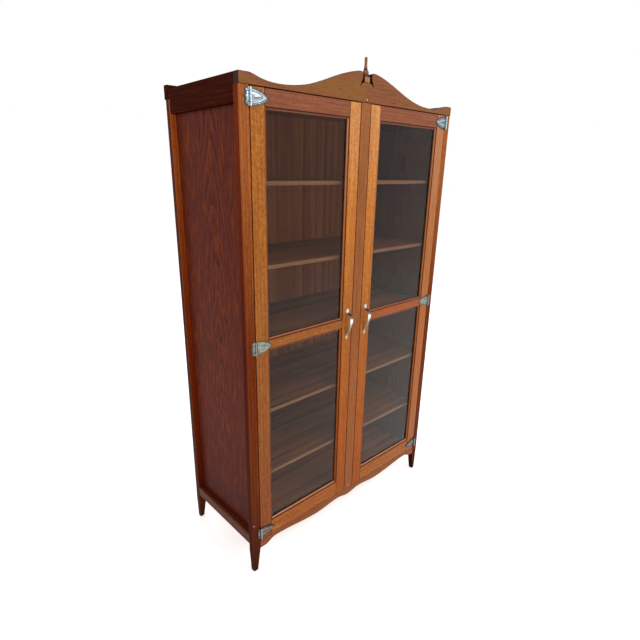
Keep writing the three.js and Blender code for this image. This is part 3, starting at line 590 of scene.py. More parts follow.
SHELF = VarnishedWood(
    "shelf_wood", "#6c3a1e", "#8a5230", "#a06a42", roughness=0.5, coat=0.05, specular=0.15,
    edge="#8a6448", streak=14 * MM,
)
# Dark wood for eased edges: painted shade along the gaps between doors, stiles and crest.
EDGE_SHADE = VarnishedWood(
    "edge_shade_wood", "#461a08", "#58240c", "#6a3014", specular=0.04, coat=0.04, mottle_share=0.3,
)
PLINTH = VarnishedWood(
    "finial_plinth_wood", "#8f5a2c", "#b07840", "#c08a50", streak=4 * MM, specular=0.12, coat=0.12,
    side_shade="#5a3a28",
)
TURNED = VarnishedWood(
    "finial_wood", "#643620", "#8c563a", "#b27a56", streak=4 * MM, specular=0.16, coat=0.16,
)
HINGE_PLATE = {
    "top": PlatedMetal("nickel_plate", "#88949c", "#687078", 0.26, "#dceaf2"),
    "middle": PlatedMetal("worn_nickel_plate", "#a0a297", "#646a62", 0.26, "#4c5652"),
    "bottom": PlatedMetal("dull_nickel_plate", "#625a58", "#3a3432", 0.28, "#a8a29c", "#16110e"),
}
CAST_NICKEL = PlatedMetal("cast_nickel_plate", "#999a8f", "#75756b", 0.24, "#f0f6f6", "#28231f")
ZINC = PlatedMetal("zinc_plate", "#b3b6b8", "#8b8f92", 0.34)
NAIL = PlatedMetal("bright_nail_steel", "#dccbb4", "#b8a68e", 0.4)
GLASS = WindowGlass()
PLASTIC = MouldedPlastic("catch_plastic", "#4a3526")


# Surfaces worked out as whole arrays

def grid_quads(rows: int, columns: int) -> Array:
    """Number the corners of the faces of a grid whose last column joins its first one.

    Args:
        rows: Points along it.
        columns: Points round it.

    Returns:
        One row of four point numbers for each face.
    """
    row, column = np.meshgrid(np.arange(rows - 1), np.arange(columns), indexing="ij")
    here, after = row * columns + column, row * columns + (column + 1) % columns
    return np.stack([here, after, after + columns, here + columns], axis=-1).reshape(-1, 4)


def points_at(x: Array, y: Array, z: Array) -> Array:
    """Spread three coordinates over one shape and set them side by side."""
    return np.stack(np.broadcast_arrays(x, y, z), axis=-1)


def tube(rings: Array) -> Shell:
    """Skin a row of rings and close each end with a strip between the ring's two halves.

    Args:
        rings: Points as rings by an even number in a ring by three coordinates.

    Returns:
        The points and the faces.
    """
    rows, count, _ = rings.shape
    step = np.arange(count // 2 - 1)
    cap = np.stack([step, step + 1, count - 2 - step, count - 1 - step], axis=-1)
    faces = np.concatenate([grid_quads(rows, count), cap, cap + (rows - 1) * count])
    return rings.reshape(-1, 3), faces


def relief(front: Array, back: float) -> Shell:
    """Close a grid that faces the front with a flat back.

    Args:
        front: Points as rows by columns by three coordinates.
        back: The back's place in Y.

    Returns:
        The points and the faces.
    """
    behind = front[:, ::-1].copy()
    behind[..., 1] = back
    return tube(np.concatenate([front, behind], axis=1))


def revolved(profile: Array, centre: Vector, segments: int) -> Shell:
    """Turn a profile round an upright line: x and y are its radius times cosine and sine.

    Args:
        profile: Rows of radius and height, from the axis at the foot to the axis at the top.
        centre: The point on the line that heights are counted from.
        segments: Points round one turn.

    Returns:
        The points and the faces.
    """
    angle = np.linspace(0, 2 * np.pi, segments, endpoint=False)
    radius, height = profile[:, :1], profile[:, 1:]
    points = points_at(centre.x + radius * np.cos(angle), centre.y + radius * np.sin(angle),
                       centre.z + height)
    return points.reshape(-1, 3), grid_quads(len(profile), segments)


def joined_shells(shells: list[Shell]) -> Shell:
    """Put several closed shells into one set of points and faces.

    Args:
        shells: The points and faces of each.

    Returns:
        All points and all faces.
    """
    offsets = np.cumsum([0] + [len(points) for points, _ in shells[:-1]])
    points = np.concatenate([shell[0] for shell in shells])
    faces = np.concatenate([faces + offset for (_, faces), offset in zip(shells, offsets)])
    return points, faces


def smooth_through(keys: Array, values: Array, at: Array) -> Array:
    """Follow values with a smooth curve: cubic pieces whose slopes are the mean of both sides'.

    Args:
        keys: Increasing places of the values.
        values: The values to pass through.
        at: The places wanted.

    Returns:
        The curve's value at each place wanted.
    """
    slope = np.gradient(values, keys)
    cell = np.clip(np.searchsorted(keys, at, side="right") - 1, 0, len(keys) - 2)
    span = keys[cell + 1] - keys[cell]
    t = (at - keys[cell]) / span
    h00, h10 = 2 * t**3 - 3 * t**2 + 1, t**3 - 2 * t**2 + t
    h01, h11 = -2 * t**3 + 3 * t**2, t**3 - t**2
    return (h00 * values[cell] + h10 * span * slope[cell]
            + h01 * values[cell + 1] + h11 * span * slope[cell + 1])


def add_object(name: str, data: bpy.types.ID) -> Object:
    """Put a new object in the scene.

    Args:
        name: Its name.
        data: Its mesh, camera or lamp.

    Returns:
        The object, at the origin.
    """
    found = bpy.data.objects.new(name, data)
    bpy.context.scene.collection.objects.link(found)
    return found


def lay_values(mesh: Mesh, name: str, values: Array) -> None:
    """Keep a value for each point in an attribute that a finish reads."""
    layer = mesh.attributes.new(name, "FLOAT", "POINT")
    layer.data.foreach_set("value", values.astype(np.float32))


def write_mesh(work: bmesh.types.BMesh, mesh: Mesh, smooth_below: float) -> None:
    """Write an edited mesh down, shaded smooth but for its sharper edges.

    Args:
        work: The edited mesh, which is freed.
        mesh: The mesh to write.
        smooth_below: Edges bent less than this many degrees are smooth.
    """
    for face in work.faces:
        face.smooth = True
    for edge in work.edges:
        edge.smooth = edge.calc_face_angle(0.0) < math.radians(smooth_below)
    work.to_mesh(mesh)
    work.free()


def mesh_object(
    name: str, shell: Shell, material: Material, smooth_below: float,
    wear_and_painted_light: Array | None = None, layer: str = TARNISH_AND_PAINTED_LIGHT,
) -> Object:
    """Make an object from closed shells, with its poles merged and its faces pointing out.

    Args:
        name: The piece's name.
        shell: Its points and faces.
        material: Its finish.
        smooth_below: Edges bent less than this many degrees are smooth.
        wear_and_painted_light: How dark or worn each point is, with painted shade and highlight,
            from 0 to 1.
        layer: The attribute that holds it.

    Returns:
        The object, at the origin.
    """
    points, faces = shell
    mesh = bpy.data.meshes.new(name)
    mesh.from_pydata(points.tolist(), [], faces.tolist())
    if wear_and_painted_light is not None:
        lay_values(mesh, layer, wear_and_painted_light)
    work = bmesh.new()
    work.from_mesh(mesh)
    bmesh.ops.remove_doubles(work, verts=work.verts, dist=1e-6)
    bmesh.ops.dissolve_degenerate(work, edges=work.edges, dist=1e-7)
    bmesh.ops.recalc_face_normals(work, faces=work.faces)
    write_mesh(work, mesh, smooth_below)
    mesh.materials.append(material)
    return add_object(name, mesh)


def settle(piece: Object, node: str, stands_in: bool = True) -> None:
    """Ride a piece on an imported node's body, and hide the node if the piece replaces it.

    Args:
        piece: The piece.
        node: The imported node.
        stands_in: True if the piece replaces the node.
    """
    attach(piece, BODY_OF[node])
    if stands_in:
        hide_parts(node)
    LOG.info("%s rides on %s", piece.name, BODY_OF[node])


def dress(node: str, material: Material) -> None:
    """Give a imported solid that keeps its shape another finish.

    Args:
        node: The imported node.
        material: Its finish.
    """
    materials = frame["nodes"][node].data.materials
    materials.clear()
    materials.append(material)
    LOG.info("%s keeps its solid", node)


@dataclass
class Board:
    """One wooden piece: its node, wood, grain and how far its edges are eased.

    A moulded board has dirt and painted shade in its quirks. Eased edges take the edge wood, if
    there is one, as painted shade.
    """

    node: str
    wood: VarnishedWood
    grain: Grain
    eased: float = 0.8 * MM
    edge_shade_wood: VarnishedWood | None = None
    moulded: bool = False
    flat_within: float = 0.5
    smooth_below: float = 60
    eased_above: float = 38

    def build(self) -> None:
        """Dress the node, or stand a copy with eased edges in for it."""
        if self.eased:
            settle(self._eased_copy(), self.node)
        else:
            dress(self.node, self.wood.material(self.grain))

    def _eased_copy(self) -> Object:
        """Merge a copy of the solid, clear the triangles from its flats and round its edges.

        Returns:
            The copy.
        """
        mesh = bpy.data.meshes.new(f"{self.node}_eased")
        work = bmesh.new()
        work.from_mesh(frame["nodes"][self.node].data)
        bmesh.ops.remove_doubles(work, verts=work.verts, dist=2e-6)
        bmesh.ops.dissolve_limit(
            work, angle_limit=math.radians(self.flat_within), use_dissolve_boundaries=False,
            verts=work.verts, edges=work.edges,
        )
        write_mesh(work, mesh, self.smooth_below)
        if self.moulded:
            self._lay_grime(mesh)
        for wood in filter(None, (self.wood, self.edge_shade_wood)):
            mesh.materials.append(wood.material(self.grain))
        piece = add_object(mesh.name, mesh)
        bevel = piece.modifiers.new("eased_edges", "BEVEL")
        bevel.width = self.eased
        bevel.segments = 2
        bevel.limit_method = "ANGLE"
        bevel.angle_limit = math.radians(self.eased_above)
        bevel.use_clamp_overlap = False
        bevel.material = len(mesh.materials) - 1
        piece.modifiers.new("flat_faces", "WEIGHTED_NORMAL").weight = 60
        return piece

    @staticmethod
    def _lay_grime(mesh: Mesh) -> None:
        """Mark dirt and painted shade in the quirk and along the glass, by depth behind the board's
        front face.

        Args:
            mesh: The board's mesh.
        """
        places = np.empty(3 * len(mesh.vertices))
        mesh.vertices.foreach_get("co", places)
        depth = places[1::3]
        depth = (depth - depth.min()) / MM
        lay_values(mesh, GRIME_AND_SHADE, np.interp(
            depth, [0.5, 0.9, 1.4, 2.4, 4, 7, 8, 9, 9.5], [0, 1, 0.9, 0.3, 0, 0.1, 0.8, 1, 0]
        ))


@dataclass
class Carcase:
    """The case: posts, rails, panels, boards, shelves, crest board and apron."""

    shelf_count: int = 5

    def build(self) -> None:
        """Dress each of the case's wooden pieces in its wood, and the catches in plastic."""
        up, wide, deep = Grain.UPRIGHT, Grain.ACROSS_WIDTH, Grain.ACROSS_DEPTH
        boards = [
            Board("crest_board", RED, wide, 1.4 * MM, EDGE_SHADE),
            Board("apron", APRON, wide, 1.4 * MM),
            Board("centre_stile", CENTRE, up, 0.7 * MM, EDGE_SHADE),
            Board("rear_top_rail", DARK, wide, 1.5 * MM),
            Board("rear_bottom_rail", RED, wide),
            Board("back_panel", INNER, up, 0.0),
            Board("top_board", INNER, wide, 0.0),
            Board("bottom_board", INNER, wide, 0.0),
        ]
        for side in SIDES:
            boards += [
                Board(f"post_front_{side}", POST, up, 1.0 * MM),
                Board(f"post_rear_{side}", REAR, up, 1.0 * MM),
                Board(f"side_rail_top_{side}", DARK, deep),
                Board(f"side_rail_bottom_{side}", LOWER, deep),
                Board(f"side_panel_{side}", SIDE, up, 0.0),
            ]
        for k in range(self.shelf_count):
            boards.append(Board(f"shelf_{k + 1}", SHELF, wide, 0.9 * MM))
        for board in boards:
            board.build()
        for side in SIDES:
            dress(f"door_catch_{side}", PLASTIC.material())


@dataclass
class Finial:
    """The finial: a square plinth flush with the crest board and a turned ball, skirt and spire."""

    plinth_height: float = 16.3 * MM
    spigot: float = 12 * MM
    spire: float = 4.8 * MM
    corner: float = 1.2 * MM
    sink: float = 2 * MM
    groove: float = 22 * MM
    groove_width: float = 0.9 * MM
    groove_depth: float = 1.4 * MM
    segments: int = 64
    smooth_below: float = 50

    def _profile(self, low: float, high: float) -> Array:
        """Follow the neck, ball, skirt and spire, then a quarter turn for the rounded tip.

        Args:
            low: Height of the plinth's top.
            high: Height of the tip.

        Returns:
            Rows of radius and height, from inside the plinth to the tip.
        """
        keys = np.array([0, 2, 4, 6.5, 9.5, 12.5, 16, 19, 21.5, 24, 27, 31, 37, 50]) * MM
        radii = np.array(
            [8.2, 7.8, 8.8, 10.1, 10.9, 10.9, 10.1, 8.5, 7.0, 6.6, 5.9, 5.1, 4.7, 4.8]
        ) * MM
        heights = np.linspace(0, keys[-1], 90)
        groove = np.exp(-(((heights - self.groove) / self.groove_width) ** 2))
        radius = smooth_through(keys, radii, heights) - self.groove_depth * groove
        turn = np.linspace(0, np.pi / 2, 9)
        return np.stack([
            np.r_[0, radii[0], radius, np.maximum(self.spire * np.cos(turn), 0)],
            np.r_[low - self.sink, low - self.sink, low + heights,
                  high - self.spire * (1 - np.sin(turn))],
        ], -1)

    def _plinth(self, low: Vector, high: Vector) -> Shell:
        """Stack rounded squares: each side's half width, less an inset near both ends.

        Args:
            low: The finial's lowest corner.
            high: Its highest corner.

        Returns:
            A closed block with eased edges.
        """
        top = self.plinth_height / MM
        levels = np.array([[0], [0.4], [0.8], [top - 1.0], [top - 0.3], [top]]) * MM
        insets = np.array([[0.3], [0.1], [0], [0], [0.3], [1.0]]) * MM
        turn = np.linspace(0, 2 * np.pi, 48, endpoint=False) + np.pi / 48
        ring = np.stack([np.cos(turn), np.sin(turn)])
        half = np.array([[high.x - low.x], [high.y - low.y]]) / 2
        inner = half - self.corner
        place = np.clip(ring / np.abs(ring).max(0) * half, -inner, inner)
        at_corner = (np.abs(place) > half - self.corner * 1.01).all(0)
        faces = at_corner | (np.abs(ring) >= np.abs(ring[::-1]))
        reach = self.corner * np.where(at_corner, math.sqrt(0.5), 1)
        x, y = place + np.where(faces, np.sign(ring) * reach, 0)
        return tube(points_at(
            (low.x + high.x) / 2 + x * (1 - insets / half[0]),
            (low.y + high.y) / 2 + y * (1 - insets / half[1]), low.z + self.spigot + levels,
        ))

    def build(self) -> None:
        """Make the finial where its solid stands."""
        low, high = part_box("finial")
        centre = Vector(((low.x + high.x) / 2, (low.y + high.y) / 2, 0))
        plinth_top = low.z + self.spigot + self.plinth_height
        shell = revolved(self._profile(plinth_top, high.z), centre, self.segments)
        ring = self.groove / MM
        # Dirt and painted shade: dark at the plinth's join, in the groove under the skirt and near
        # the tip.
        grime = np.interp(
            (shell[0][:, 2] - plinth_top) / MM,
            [1.5, 3.5, 6, 17, ring - 1.2, ring + 1.2, 27, 47, 50, 52],
            [1, 0.8, 0.1, 0, 0.9, 0.9, 0.1, 0, 0.3, 0.4],
        )
        turned, plinth = (wood.material(Grain.UPRIGHT) for wood in (TURNED, PLINTH))
        settle(mesh_object(
            "turned_finial", shell, turned, self.smooth_below, grime, GRIME_AND_SHADE
        ), "finial")
        settle(mesh_object(
            "finial_plinth", self._plinth(low, high), plinth, self.smooth_below
        ), "finial", False)


# By on_door, in millimetres: heights from the middle, and the reach from the pin's axis at each.
# The door's leaf is a pointed arch with a small tip; the post's has square shoulders.
LEAF_OUTLINE = {
    True: ([0, 0.47, 1.41, 3.29, 6.345, 10.105, 13.63, 16.685, 19.74, 21.855, 23.03, 23.5],
           [69, 65.895, 63.48, 61.755, 58.65, 53.82, 48.3, 41.4, 31.05, 20.7, 11.04, 0]),
    False: ([0, 1.6, 3.3, 5.5, 8.2, 12, 16, 18.6, 20.3, 21.8, 22.7, 23.3],
            [21, 18.8, 17.6, 16.6, 16.2, 16.4, 17, 16.8, 15.6, 13.8, 11, 5.6]),
}


@dataclass
class HingeLeaf:
    """A leaf of a butterfly hinge: a short one on the post or a long pointed one on the door.

    Its relief follows the distance to its outline: a rounded rim, a groove, a raised bead and a
    domed field. A smaller outline bounds a raised boss, and the long leaf has a midrib. The
    post's leaf has the outer and middle knuckles and the pin.
    """

    place: str
    side: str
    on_door: bool
    half_height: float = 23.5 * MM
    barrel: float = 4.5 * MM
    lift: float = 4.8 * MM
    clear: float = 5.0 * MM
    back: float = 0.3 * MM
    knuckles: int = 5
    knuckle_gap: float = 0.35 * MM
    chamfer: float = 0.35 * MM
    pin_head: float = 3 * MM
    rows: int = 81
    columns: int = 61
    boss_reach: float = 0.7
    boss_height: float = 0.53
    midrib: float = 0.9
    screw_rise: float = 3.1 * MM
    node: str = field(init=False)
    way: int = field(init=False)
    axis: Vector = field(init=False)
    seat: float = field(init=False)

    def __post_init__(self) -> None:
        """Find the leaf's node, its way along X, the barrel's middle and the back's Y."""
        post_node, door = f"hinge_frame_leaf_{self.place}_{self.side}", f"{self.side}_door"
        self.node = f"{door}_hinge_leaf_{self.place}" if self.on_door else post_node
        self.way = 1 if (self.side == "right") != self.on_door else -1
        low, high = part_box(post_node)
        joint = next(j for j in RECORD["behaviour"]["joints"] if j["child"] == door)
        self.axis = Vector((*joint["pos_m"][:2], (low.z + high.z) / 2))
        self.seat = self.axis.y + self.lift - self.back

    def build(self) -> None:
        """Make the leaf, with tarnish and painted shade low in its grooves and a painted highlight,
        partly rubbed wear, on a raised band and the barrel's front.
        """
        shells = [self._plate(), *self._knuckles()]
        if not self.on_door:
            shells += self._pin_heads()
        shell = joined_shells(shells)
        # Painted light by depth: dark tarnish and painted shade in the grooves, painted highlights
        # on a raised band and the barrel's front.
        tarnish = np.interp(
            (self.seat - shell[0][:, 1]) / MM, [1.3, 2.0, 2.6, 3.0, 3.6, 4.2, 6.0, 8.3, 8.7],
            [0.95, 0.7, 0.4, 0.3, 0.15, 0.35, 0.65, 0.4, 0],
        )
        plate = HINGE_PLATE[self.place].material()
        settle(mesh_object(f"fine_{self.node}", shell, plate, 35, tarnish), self.node)

    def build_screws(self) -> None:
        """Sink screw heads in the leaf, by their reach and height in millimetres."""
        if self.on_door:
            name = f"screws_{self.side}_door_{self.place}"
            places = ((13, 15.5), (13, -15.5), (56, 0))
        else:
            name = f"screws_frame_{self.place}_{self.side}"
            places = ((10.5, 14.5), (10.5, -14.5))
        shell = joined_shells([
            ScrewHead().shell(Vector((
                self.axis.x + self.way * across * MM, self.seat - self.screw_rise,
                self.axis.z + up * MM,
            )), 35 + 47 * k)
            for k, (across, up) in enumerate(places)
        ])
        plate = HINGE_PLATE[self.place].material()
        tarnish = np.full(len(shell[0]), 0.3)
        settle(mesh_object(name, shell, plate, 30, tarnish), self.node, False)

    def _plate(self) -> Shell:
        """Raise the relief over the leaf's outline.

        Returns:
            A closed shell.
        """
        keys, reaches = np.array(LEAF_OUTLINE[self.on_door]) * MM
        top = keys[reaches > self.clear + 1.5 * MM].max()
        height = top * np.sin(np.linspace(-1, 1, self.rows) * np.pi / 2)
        reach = np.interp(np.abs(height), keys, reaches)
        share = 1 - (1 - np.linspace(0, 1, self.columns)) ** 1.5
        across = self.clear + (reach[:, None] - self.clear) * share
        up = height[:, None] + 0 * across
        line_up = np.interp(np.linspace(0, 1, 240), np.linspace(0, 1, len(keys)), keys)
        line_out = np.interp(line_up, keys, reaches)
        rim, boss = (
            np.hypot(across[..., None] - np.tile(line_out, 2) * out_share,
                     up[..., None] - np.r_[line_up, -line_up] * up_share).min(-1) / MM
            for up_share, out_share in ((1, 1), (self.boss_height, self.boss_reach))
        )
        rise = np.interp(
            rim, [0, 0.5, 1.3, 2.0, 2.7, 3.3, 4.2, 5.0, 6.0, 9.0, 20.0],
            [0.5, 1.4, 1.9, 1.8, 1.2, 2.1, 2.7, 2.3, 2.7, 3.1, 3.4],
        )
        if self.on_door:
            x = across / MM
            along = np.clip((x - 12) / 10, 0, 1) * np.clip((62 - x) / 12, 0, 1)
            rise = rise + self.midrib * along * np.exp(-((up / (2.4 * MM)) ** 2))
        inside = across < self.boss_reach * np.interp(
            np.abs(up), keys * self.boss_height, reaches, right=0)
        rise = rise + np.interp(
            np.where(inside, boss, -boss), [-2.4, -0.9, -0.2, 0.7, 2.0, 6.0],
            [0, -0.9, -0.4, 0.3, 0.45, 0.7],
        )
        front = points_at(
            self.axis.x + self.way * across, self.seat - rise * MM, self.axis.z + up
        )
        return relief(front, self.seat)

    def _knuckles(self) -> list[Shell]:
        """Make the leaf's own knuckles, and the curls of plate that run up to them.

        Returns:
            Closed shells.
        """
        r, ease, back = self.barrel, self.chamfer, (self.lift - self.back) / MM
        x, y = np.array([
            [7, back], [7, back - 2.2], [5.6, 1.9], [4.6, 0.9], [3.9, -0.4], [0, -0.4], [0, 1.5],
            [0, back],
        ]).T * MM
        pitch = 2 * self.half_height / self.knuckles
        shells = []
        for k in range(int(self.on_door), self.knuckles, 2):
            low = -self.half_height + k * pitch + self.knuckle_gap / 2
            high = low + pitch - self.knuckle_gap
            shells += [revolved(np.array([
                [0, low], [r - ease, low], [r, low + ease], [r, high - ease], [r - ease, high],
                [0, high],
            ]), self.axis, 40), tube(points_at(
                self.axis.x + self.way * x, self.axis.y + y,
                self.axis.z + np.array([[low], [high]]),
            ))]
        return shells

    def _pin_heads(self) -> list[Shell]:
        """Make the domed heads of the pin above and below the barrel.

        Returns:
            Closed shells.
        """
        turn = np.linspace(0, np.pi / 2, 7)
        start = self.half_height - 0.2 * MM
        height = np.r_[start, start, start + 0.3 * MM + 1.2 * MM * np.sin(turn)]
        radius = np.r_[0, self.pin_head, self.pin_head * np.cos(turn)]
        return [revolved(np.stack([radius, way * height], -1), self.axis, 32) for way in (1, -1)]


@dataclass
class ScrewHead:
    """A slotted screw head that faces the front: a low dome with a slot across it."""

    radius: float = 2.7 * MM
    dome: float = 0.7 * MM
    slot: float = 0.45 * MM
    depth: float = 0.8 * MM
    sink: float = 1.6 * MM
    count: int = 25

    def shell(self, centre: Vector, turn: float) -> Shell:
        """Map a square grid to a disc and lower it in the slot.

        Args:
            centre: Middle of the head at the surface that it stands on.
            turn: The slot's angle in degrees.

        Returns:
            The points and the faces.
        """
        side = np.linspace(-1, 1, self.count)
        u, v = np.meshgrid(side, side, indexing="ij")
        across, up = u * np.sqrt(1 - v**2 / 2), v * np.sqrt(1 - u**2 / 2)
        angle = math.radians(turn)
        along_slot = across * math.cos(angle) + up * math.sin(angle)
        off_slot = np.abs(up * math.cos(angle) - across * math.sin(angle)) * self.radius
        radial = np.hypot(across, up)
        rise = self.dome * np.sqrt(np.clip(1 - radial**2 * 0.98, 0, 1))
        rise = rise - self.depth * (off_slot < self.slot) * (np.abs(along_slot) < 0.97)
        return relief(points_at(
            centre.x + across * self.radius, centre.y - rise, centre.z + up * self.radius
        ), centre.y + self.sink)


@dataclass
class Pull:
    """A cast bow pull: two leaf-shaped feet and a half-round bow between them, in millimetres."""

    side: str
    foot: float = 3
    foot_length: float = 22
    thick: float = 7
    bend: float = 24
    rings: int = 120
    points: int = 28
    smooth_below: float = 50

    def _stations(self, half: float, reach: float) -> Array:
        """List the sections from the upper foot's tip to the lower one's.

        Args:
            half: Half of the pull's length, in millimetres.
            reach: How far it stands out from the door, in millimetres.

        Returns:
            Rows of height, reach, width and thickness, in metres.
        """
        foot, thick, bend = self.foot, self.thick, self.bend
        foot_end = half - self.foot_length
        drop = foot_end - bend
        return np.array([
            [half, foot * 0.5, 2, foot * 0.5],
            [half - 1.5, foot * 0.85, 7.5, foot * 0.85],
            [half - 4, foot, 11.5, foot],
            [half - 11, foot * 1.05, 15, foot],
            [foot_end + 3, foot * 1.2, 10.8, foot * 1.2],
            [foot_end - drop * 0.2, reach * 0.36, 10.5, thick],
            [foot_end - drop * 0.5, reach * 0.72, 12.6, thick],
            [foot_end - drop * 0.85, reach * 0.95, 14, thick],
            [bend - 4, reach, 14, thick],
            [bend - 16, reach * 0.93, 12.9, thick * 0.9],
            [-18, reach * 0.65, 10.9, thick * 0.8],
            [-foot_end + 8, reach * 0.35, 9.2, thick * 0.75],
            [-foot_end - 2, foot * 1.3, 10.4, foot * 1.3],
            [-half + 11, foot, 14.4, foot],
            [-half + 4, foot, 12, foot],
            [-half + 1.2, foot * 0.8, 7.6, foot * 0.8],
            [-half, foot * 0.5, 3, foot * 0.5],
        ]) * MM

    def build(self) -> None:
        """Make the pull where its solid is."""
        node = f"{self.side}_door_pull"
        low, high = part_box(node)
        reach = high.y - low.y
        stations = self._stations((high.z - low.z) / 2 / MM, reach / MM)
        keys = np.arange(len(stations), dtype=float)
        at = np.linspace(0, keys[-1], self.rings)
        z, out, width, deep = (smooth_through(keys, column, at) for column in stations.T)
        out = np.minimum(out, reach)
        slope = np.hypot(np.gradient(out), np.gradient(z))
        lean, rise = -np.gradient(out) / slope, -np.gradient(z) / slope
        turn = np.linspace(0, np.pi, self.points)
        across = np.r_[np.cos(turn), np.linspace(-1, 1, self.points + 2)[1:-1]]
        sink = np.r_[1 - np.sin(turn) ** 0.8, np.ones(self.points)]
        depth = deep[:, None] * sink
        centre = (low + high) / 2
        x = centre.x + width[:, None] / 2 * across
        y = high.y - out[:, None] + depth * np.abs(rise[:, None])
        up = centre.z + z[:, None] - depth * lean[:, None] * np.sign(rise[:, None])
        # Painted light along the pull: painted shade under the arm and a painted highlight on the
        # bow's top corner.
        shade = np.interp(
            at, [0, 3, 4.2, 5, 6.2, 7, 7.6, 8.6, 9.5, 11, 12, 13, 16],
            [0.3, 0.15, 0.6, 0.9, 0.95, 0.4, 0, 0, 0.35, 0.45, 0.6, 0.3, 0.35],
        )
        piece = mesh_object(
            f"cast_{node}", tube(points_at(x, np.minimum(y, high.y), up)),
            CAST_NICKEL.material(), self.smooth_below, np.repeat(shade, len(across)),
        )
        settle(piece, node)


@dataclass
class Door:
    """One door: a moulded frame, panes, their beads, the catch strike, the pull and hinges."""

    side: str
    eased: float = 0.7 * MM

    def build(self) -> None:
        """Dress the door. A hinge's two leaves come before their screws."""
        door = f"{self.side}_door"
        up, wide = Grain.UPRIGHT, Grain.ACROSS_WIDTH
        outer, middle = (AMBER, AMBER) if self.side == "left" else (BROWN, RUST)
        for name, wood, grain in (
            ("hinge_stile", outer, up), ("meeting_stile", MEETING, up), ("top_rail", TOP, wide),
            ("middle_rail", middle, wide), ("bottom_rail", BOTTOM, wide),
        ):
            Board(f"{door}_{name}", wood, grain, self.eased, EDGE_SHADE, True).build()
        for level in ("upper", "lower"):
            Board(f"{door}_{level}_glass_bead", RED, wide, 0.0).build()
            dress(f"{door}_{level}_glass", GLASS.material())
        dress(f"{door}_catch_strike", ZINC.material())
        Pull(self.side).build()
        for place in HINGE_PLATE:
            leaves = [HingeLeaf(place, self.side, on_door) for on_door in (False, True)]
            for leaf in leaves:
                leaf.build()
            for leaf in leaves:
                leaf.build_screws()


@dataclass
class NailHeads:
    """Small nail heads in the crest board, in the centre stile and low in the front posts."""

    radius: float = 2.1 * MM
    dome: float = 0.35 * MM
    proud: float = 0.1 * MM
    crest_place: tuple[float, float] = (3 * MM, 9 * MM)
    stile_height: float = 27 * MM
    side_inset: float = 6 * MM
    side_height: float = 216 * MM

    def build(self) -> None:
        """Set each nail in the face that it shows on."""
        crest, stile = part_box("crest_board")[0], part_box("centre_stile")[0]
        post_low, post_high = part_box("post_front_right")
        outer = post_high.x - self.side_inset
        head = ScrewHead(radius=self.radius, dome=self.dome, depth=0.0, count=13)
        shells = [head.shell(Vector((x, y - self.proud, z)), 0) for x, y, z in (
            (self.crest_place[0], crest.y, crest.z + self.crest_place[1]),
            (0, crest.y, stile.z + self.stile_height),
            (-outer, post_low.y, self.side_height), (outer, post_low.y, self.side_height),
        )]
        piece = mesh_object("nail_heads", joined_shells(shells), NAIL.material(), 30)
        settle(piece, "crest_board", False)


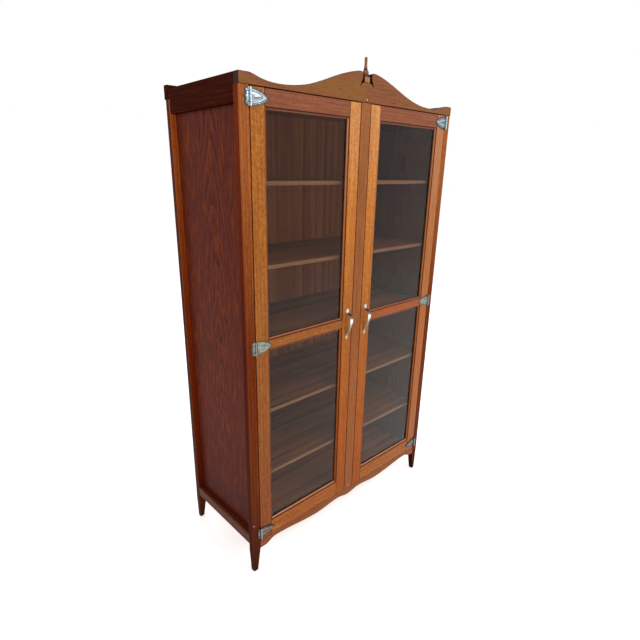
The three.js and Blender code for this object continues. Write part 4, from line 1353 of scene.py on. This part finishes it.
@dataclass
class Studio:
    """Camera, pale floor, even light and soft lamps. Angles are in degrees."""

    position: Triple = (-1.2980, -1.33465, 1.4423)
    yaw: float = 41.80
    pitch: float = 19.03
    roll: float = -0.49
    lens: float = 25.98
    centre_column: float = 301.5
    centre_row: float = 333.3
    picture: float = 640
    floor_half: float = 30.0
    floor_glow: float = 0.62
    ambient: float = 0.52
    lamp_size: float = 3.0

    def build(self) -> None:
        """Set up the view and the light."""
        self._camera()
        self._floor()
        self._world()
        self._lamp("key_light", (1.4, -4.2, 4.4), (0.0, 0.0, 0.9), 150)
        self._lamp("left_fill", (-4.2, -0.8, 2.2), (0.0, 0.0, 0.8), 42)
        self._lamp("back_fill", (1.5, 4.0, 2.8), (0.0, 0.0, 0.9), 60)

    def _camera(self) -> None:
        """Stand the camera where the photograph was taken from."""
        data = bpy.data.cameras.new("camera")
        data.sensor_width = 36
        data.lens = self.lens
        data.shift_x = (self.picture / 2 - self.centre_column) / self.picture
        data.shift_y = (self.centre_row - self.picture / 2) / self.picture
        data.clip_start, data.clip_end = 0.05, 60
        camera = add_object("camera", data)
        place = Matrix.Translation(self.position)
        for angle, axis in ((-self.yaw, "Z"), (90 - self.pitch, "X"), (-self.roll, "Z")):
            place = place @ Matrix.Rotation(math.radians(angle), 4, axis)
        camera.matrix_world = place
        bpy.context.scene.camera = camera
        bpy.context.scene.view_settings.view_transform = "Standard"

    def _floor(self) -> None:
        """Lay a wide pale floor that shows white away from the cabinet's shadow."""
        mesh = bpy.data.meshes.new("floor")
        s = self.floor_half
        mesh.from_pydata([(-s, -s, 0), (s, -s, 0), (s, s, 0), (-s, s, 0)], [], [(0, 1, 2, 3)])
        material = bpy.data.materials.new("studio_floor")
        material.use_nodes = True
        net = Net(material.node_tree)
        glow = net.get("Emission", "Emission", {"Color": "#ffffff", "Strength": self.floor_glow})
        matt = net.get("BsdfDiffuse", "BSDF", {"Color": "#eceae6"})
        both = net.get("AddShader", "Shader", {0: glow, 1: matt})
        mixed = net.get("MixShader", "Shader", {0: self._seen(net), 1: matt, 2: both})
        add_node(net.tree, "OutputMaterial", {"Surface": mixed})
        mesh.materials.append(material)
        add_object("studio_floor", mesh)

    @staticmethod
    def _seen(net: Net) -> Socket:
        """Give 1 for camera, glossy and transmission rays and 0 for others.

        Args:
            net: The nodes to add to.

        Returns:
            The value.
        """
        rays = add_node(net.tree, "LightPath").outputs
        shown = net.calc("MAXIMUM", rays["Is Camera Ray"], rays["Is Glossy Ray"])
        return net.calc("MAXIMUM", shown, rays["Is Transmission Ray"])

    def _world(self) -> None:
        """Light everything evenly and show white behind the cabinet."""
        world = bpy.data.worlds.new("studio")
        bpy.context.scene.world = world
        world.use_nodes = True
        net = Net(world.node_tree)
        strength = net.ranged(self._seen(net), 0, 1, self.ambient, 1.0)
        light = net.get("Background", "Background", {"Color": "#ffffff", "Strength": strength})
        add_node(net.tree, "OutputWorld", {"Surface": light})

    def _lamp(self, name: str, place: Triple, target: Triple, power: float) -> None:
        """Hang a large square lamp that faces a point.

        Args:
            name: The lamp's name.
            place: Where it hangs.
            target: The point that it faces.
            power: Its power in watts.
        """
        data = bpy.data.lights.new(name, "AREA")
        data.size, data.energy = self.lamp_size, power
        lamp = add_object(name, data)
        facing = (Vector(target) - Vector(place)).to_track_quat("-Z", "Y").to_matrix().to_4x4()
        lamp.matrix_world = Matrix.Translation(place) @ facing
        lamp.visible_transmission = False


def main() -> None:
    """Build the scene in order."""
    logging.basicConfig(level=logging.INFO, format="%(name)s: %(message)s")
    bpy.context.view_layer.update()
    Studio().build()
    Carcase().build()
    Finial().build()
    for side in SIDES:
        Door(side).build()
    NailHeads().build()
    bpy.context.view_layer.update()


if __name__ == "__main__":
    main()
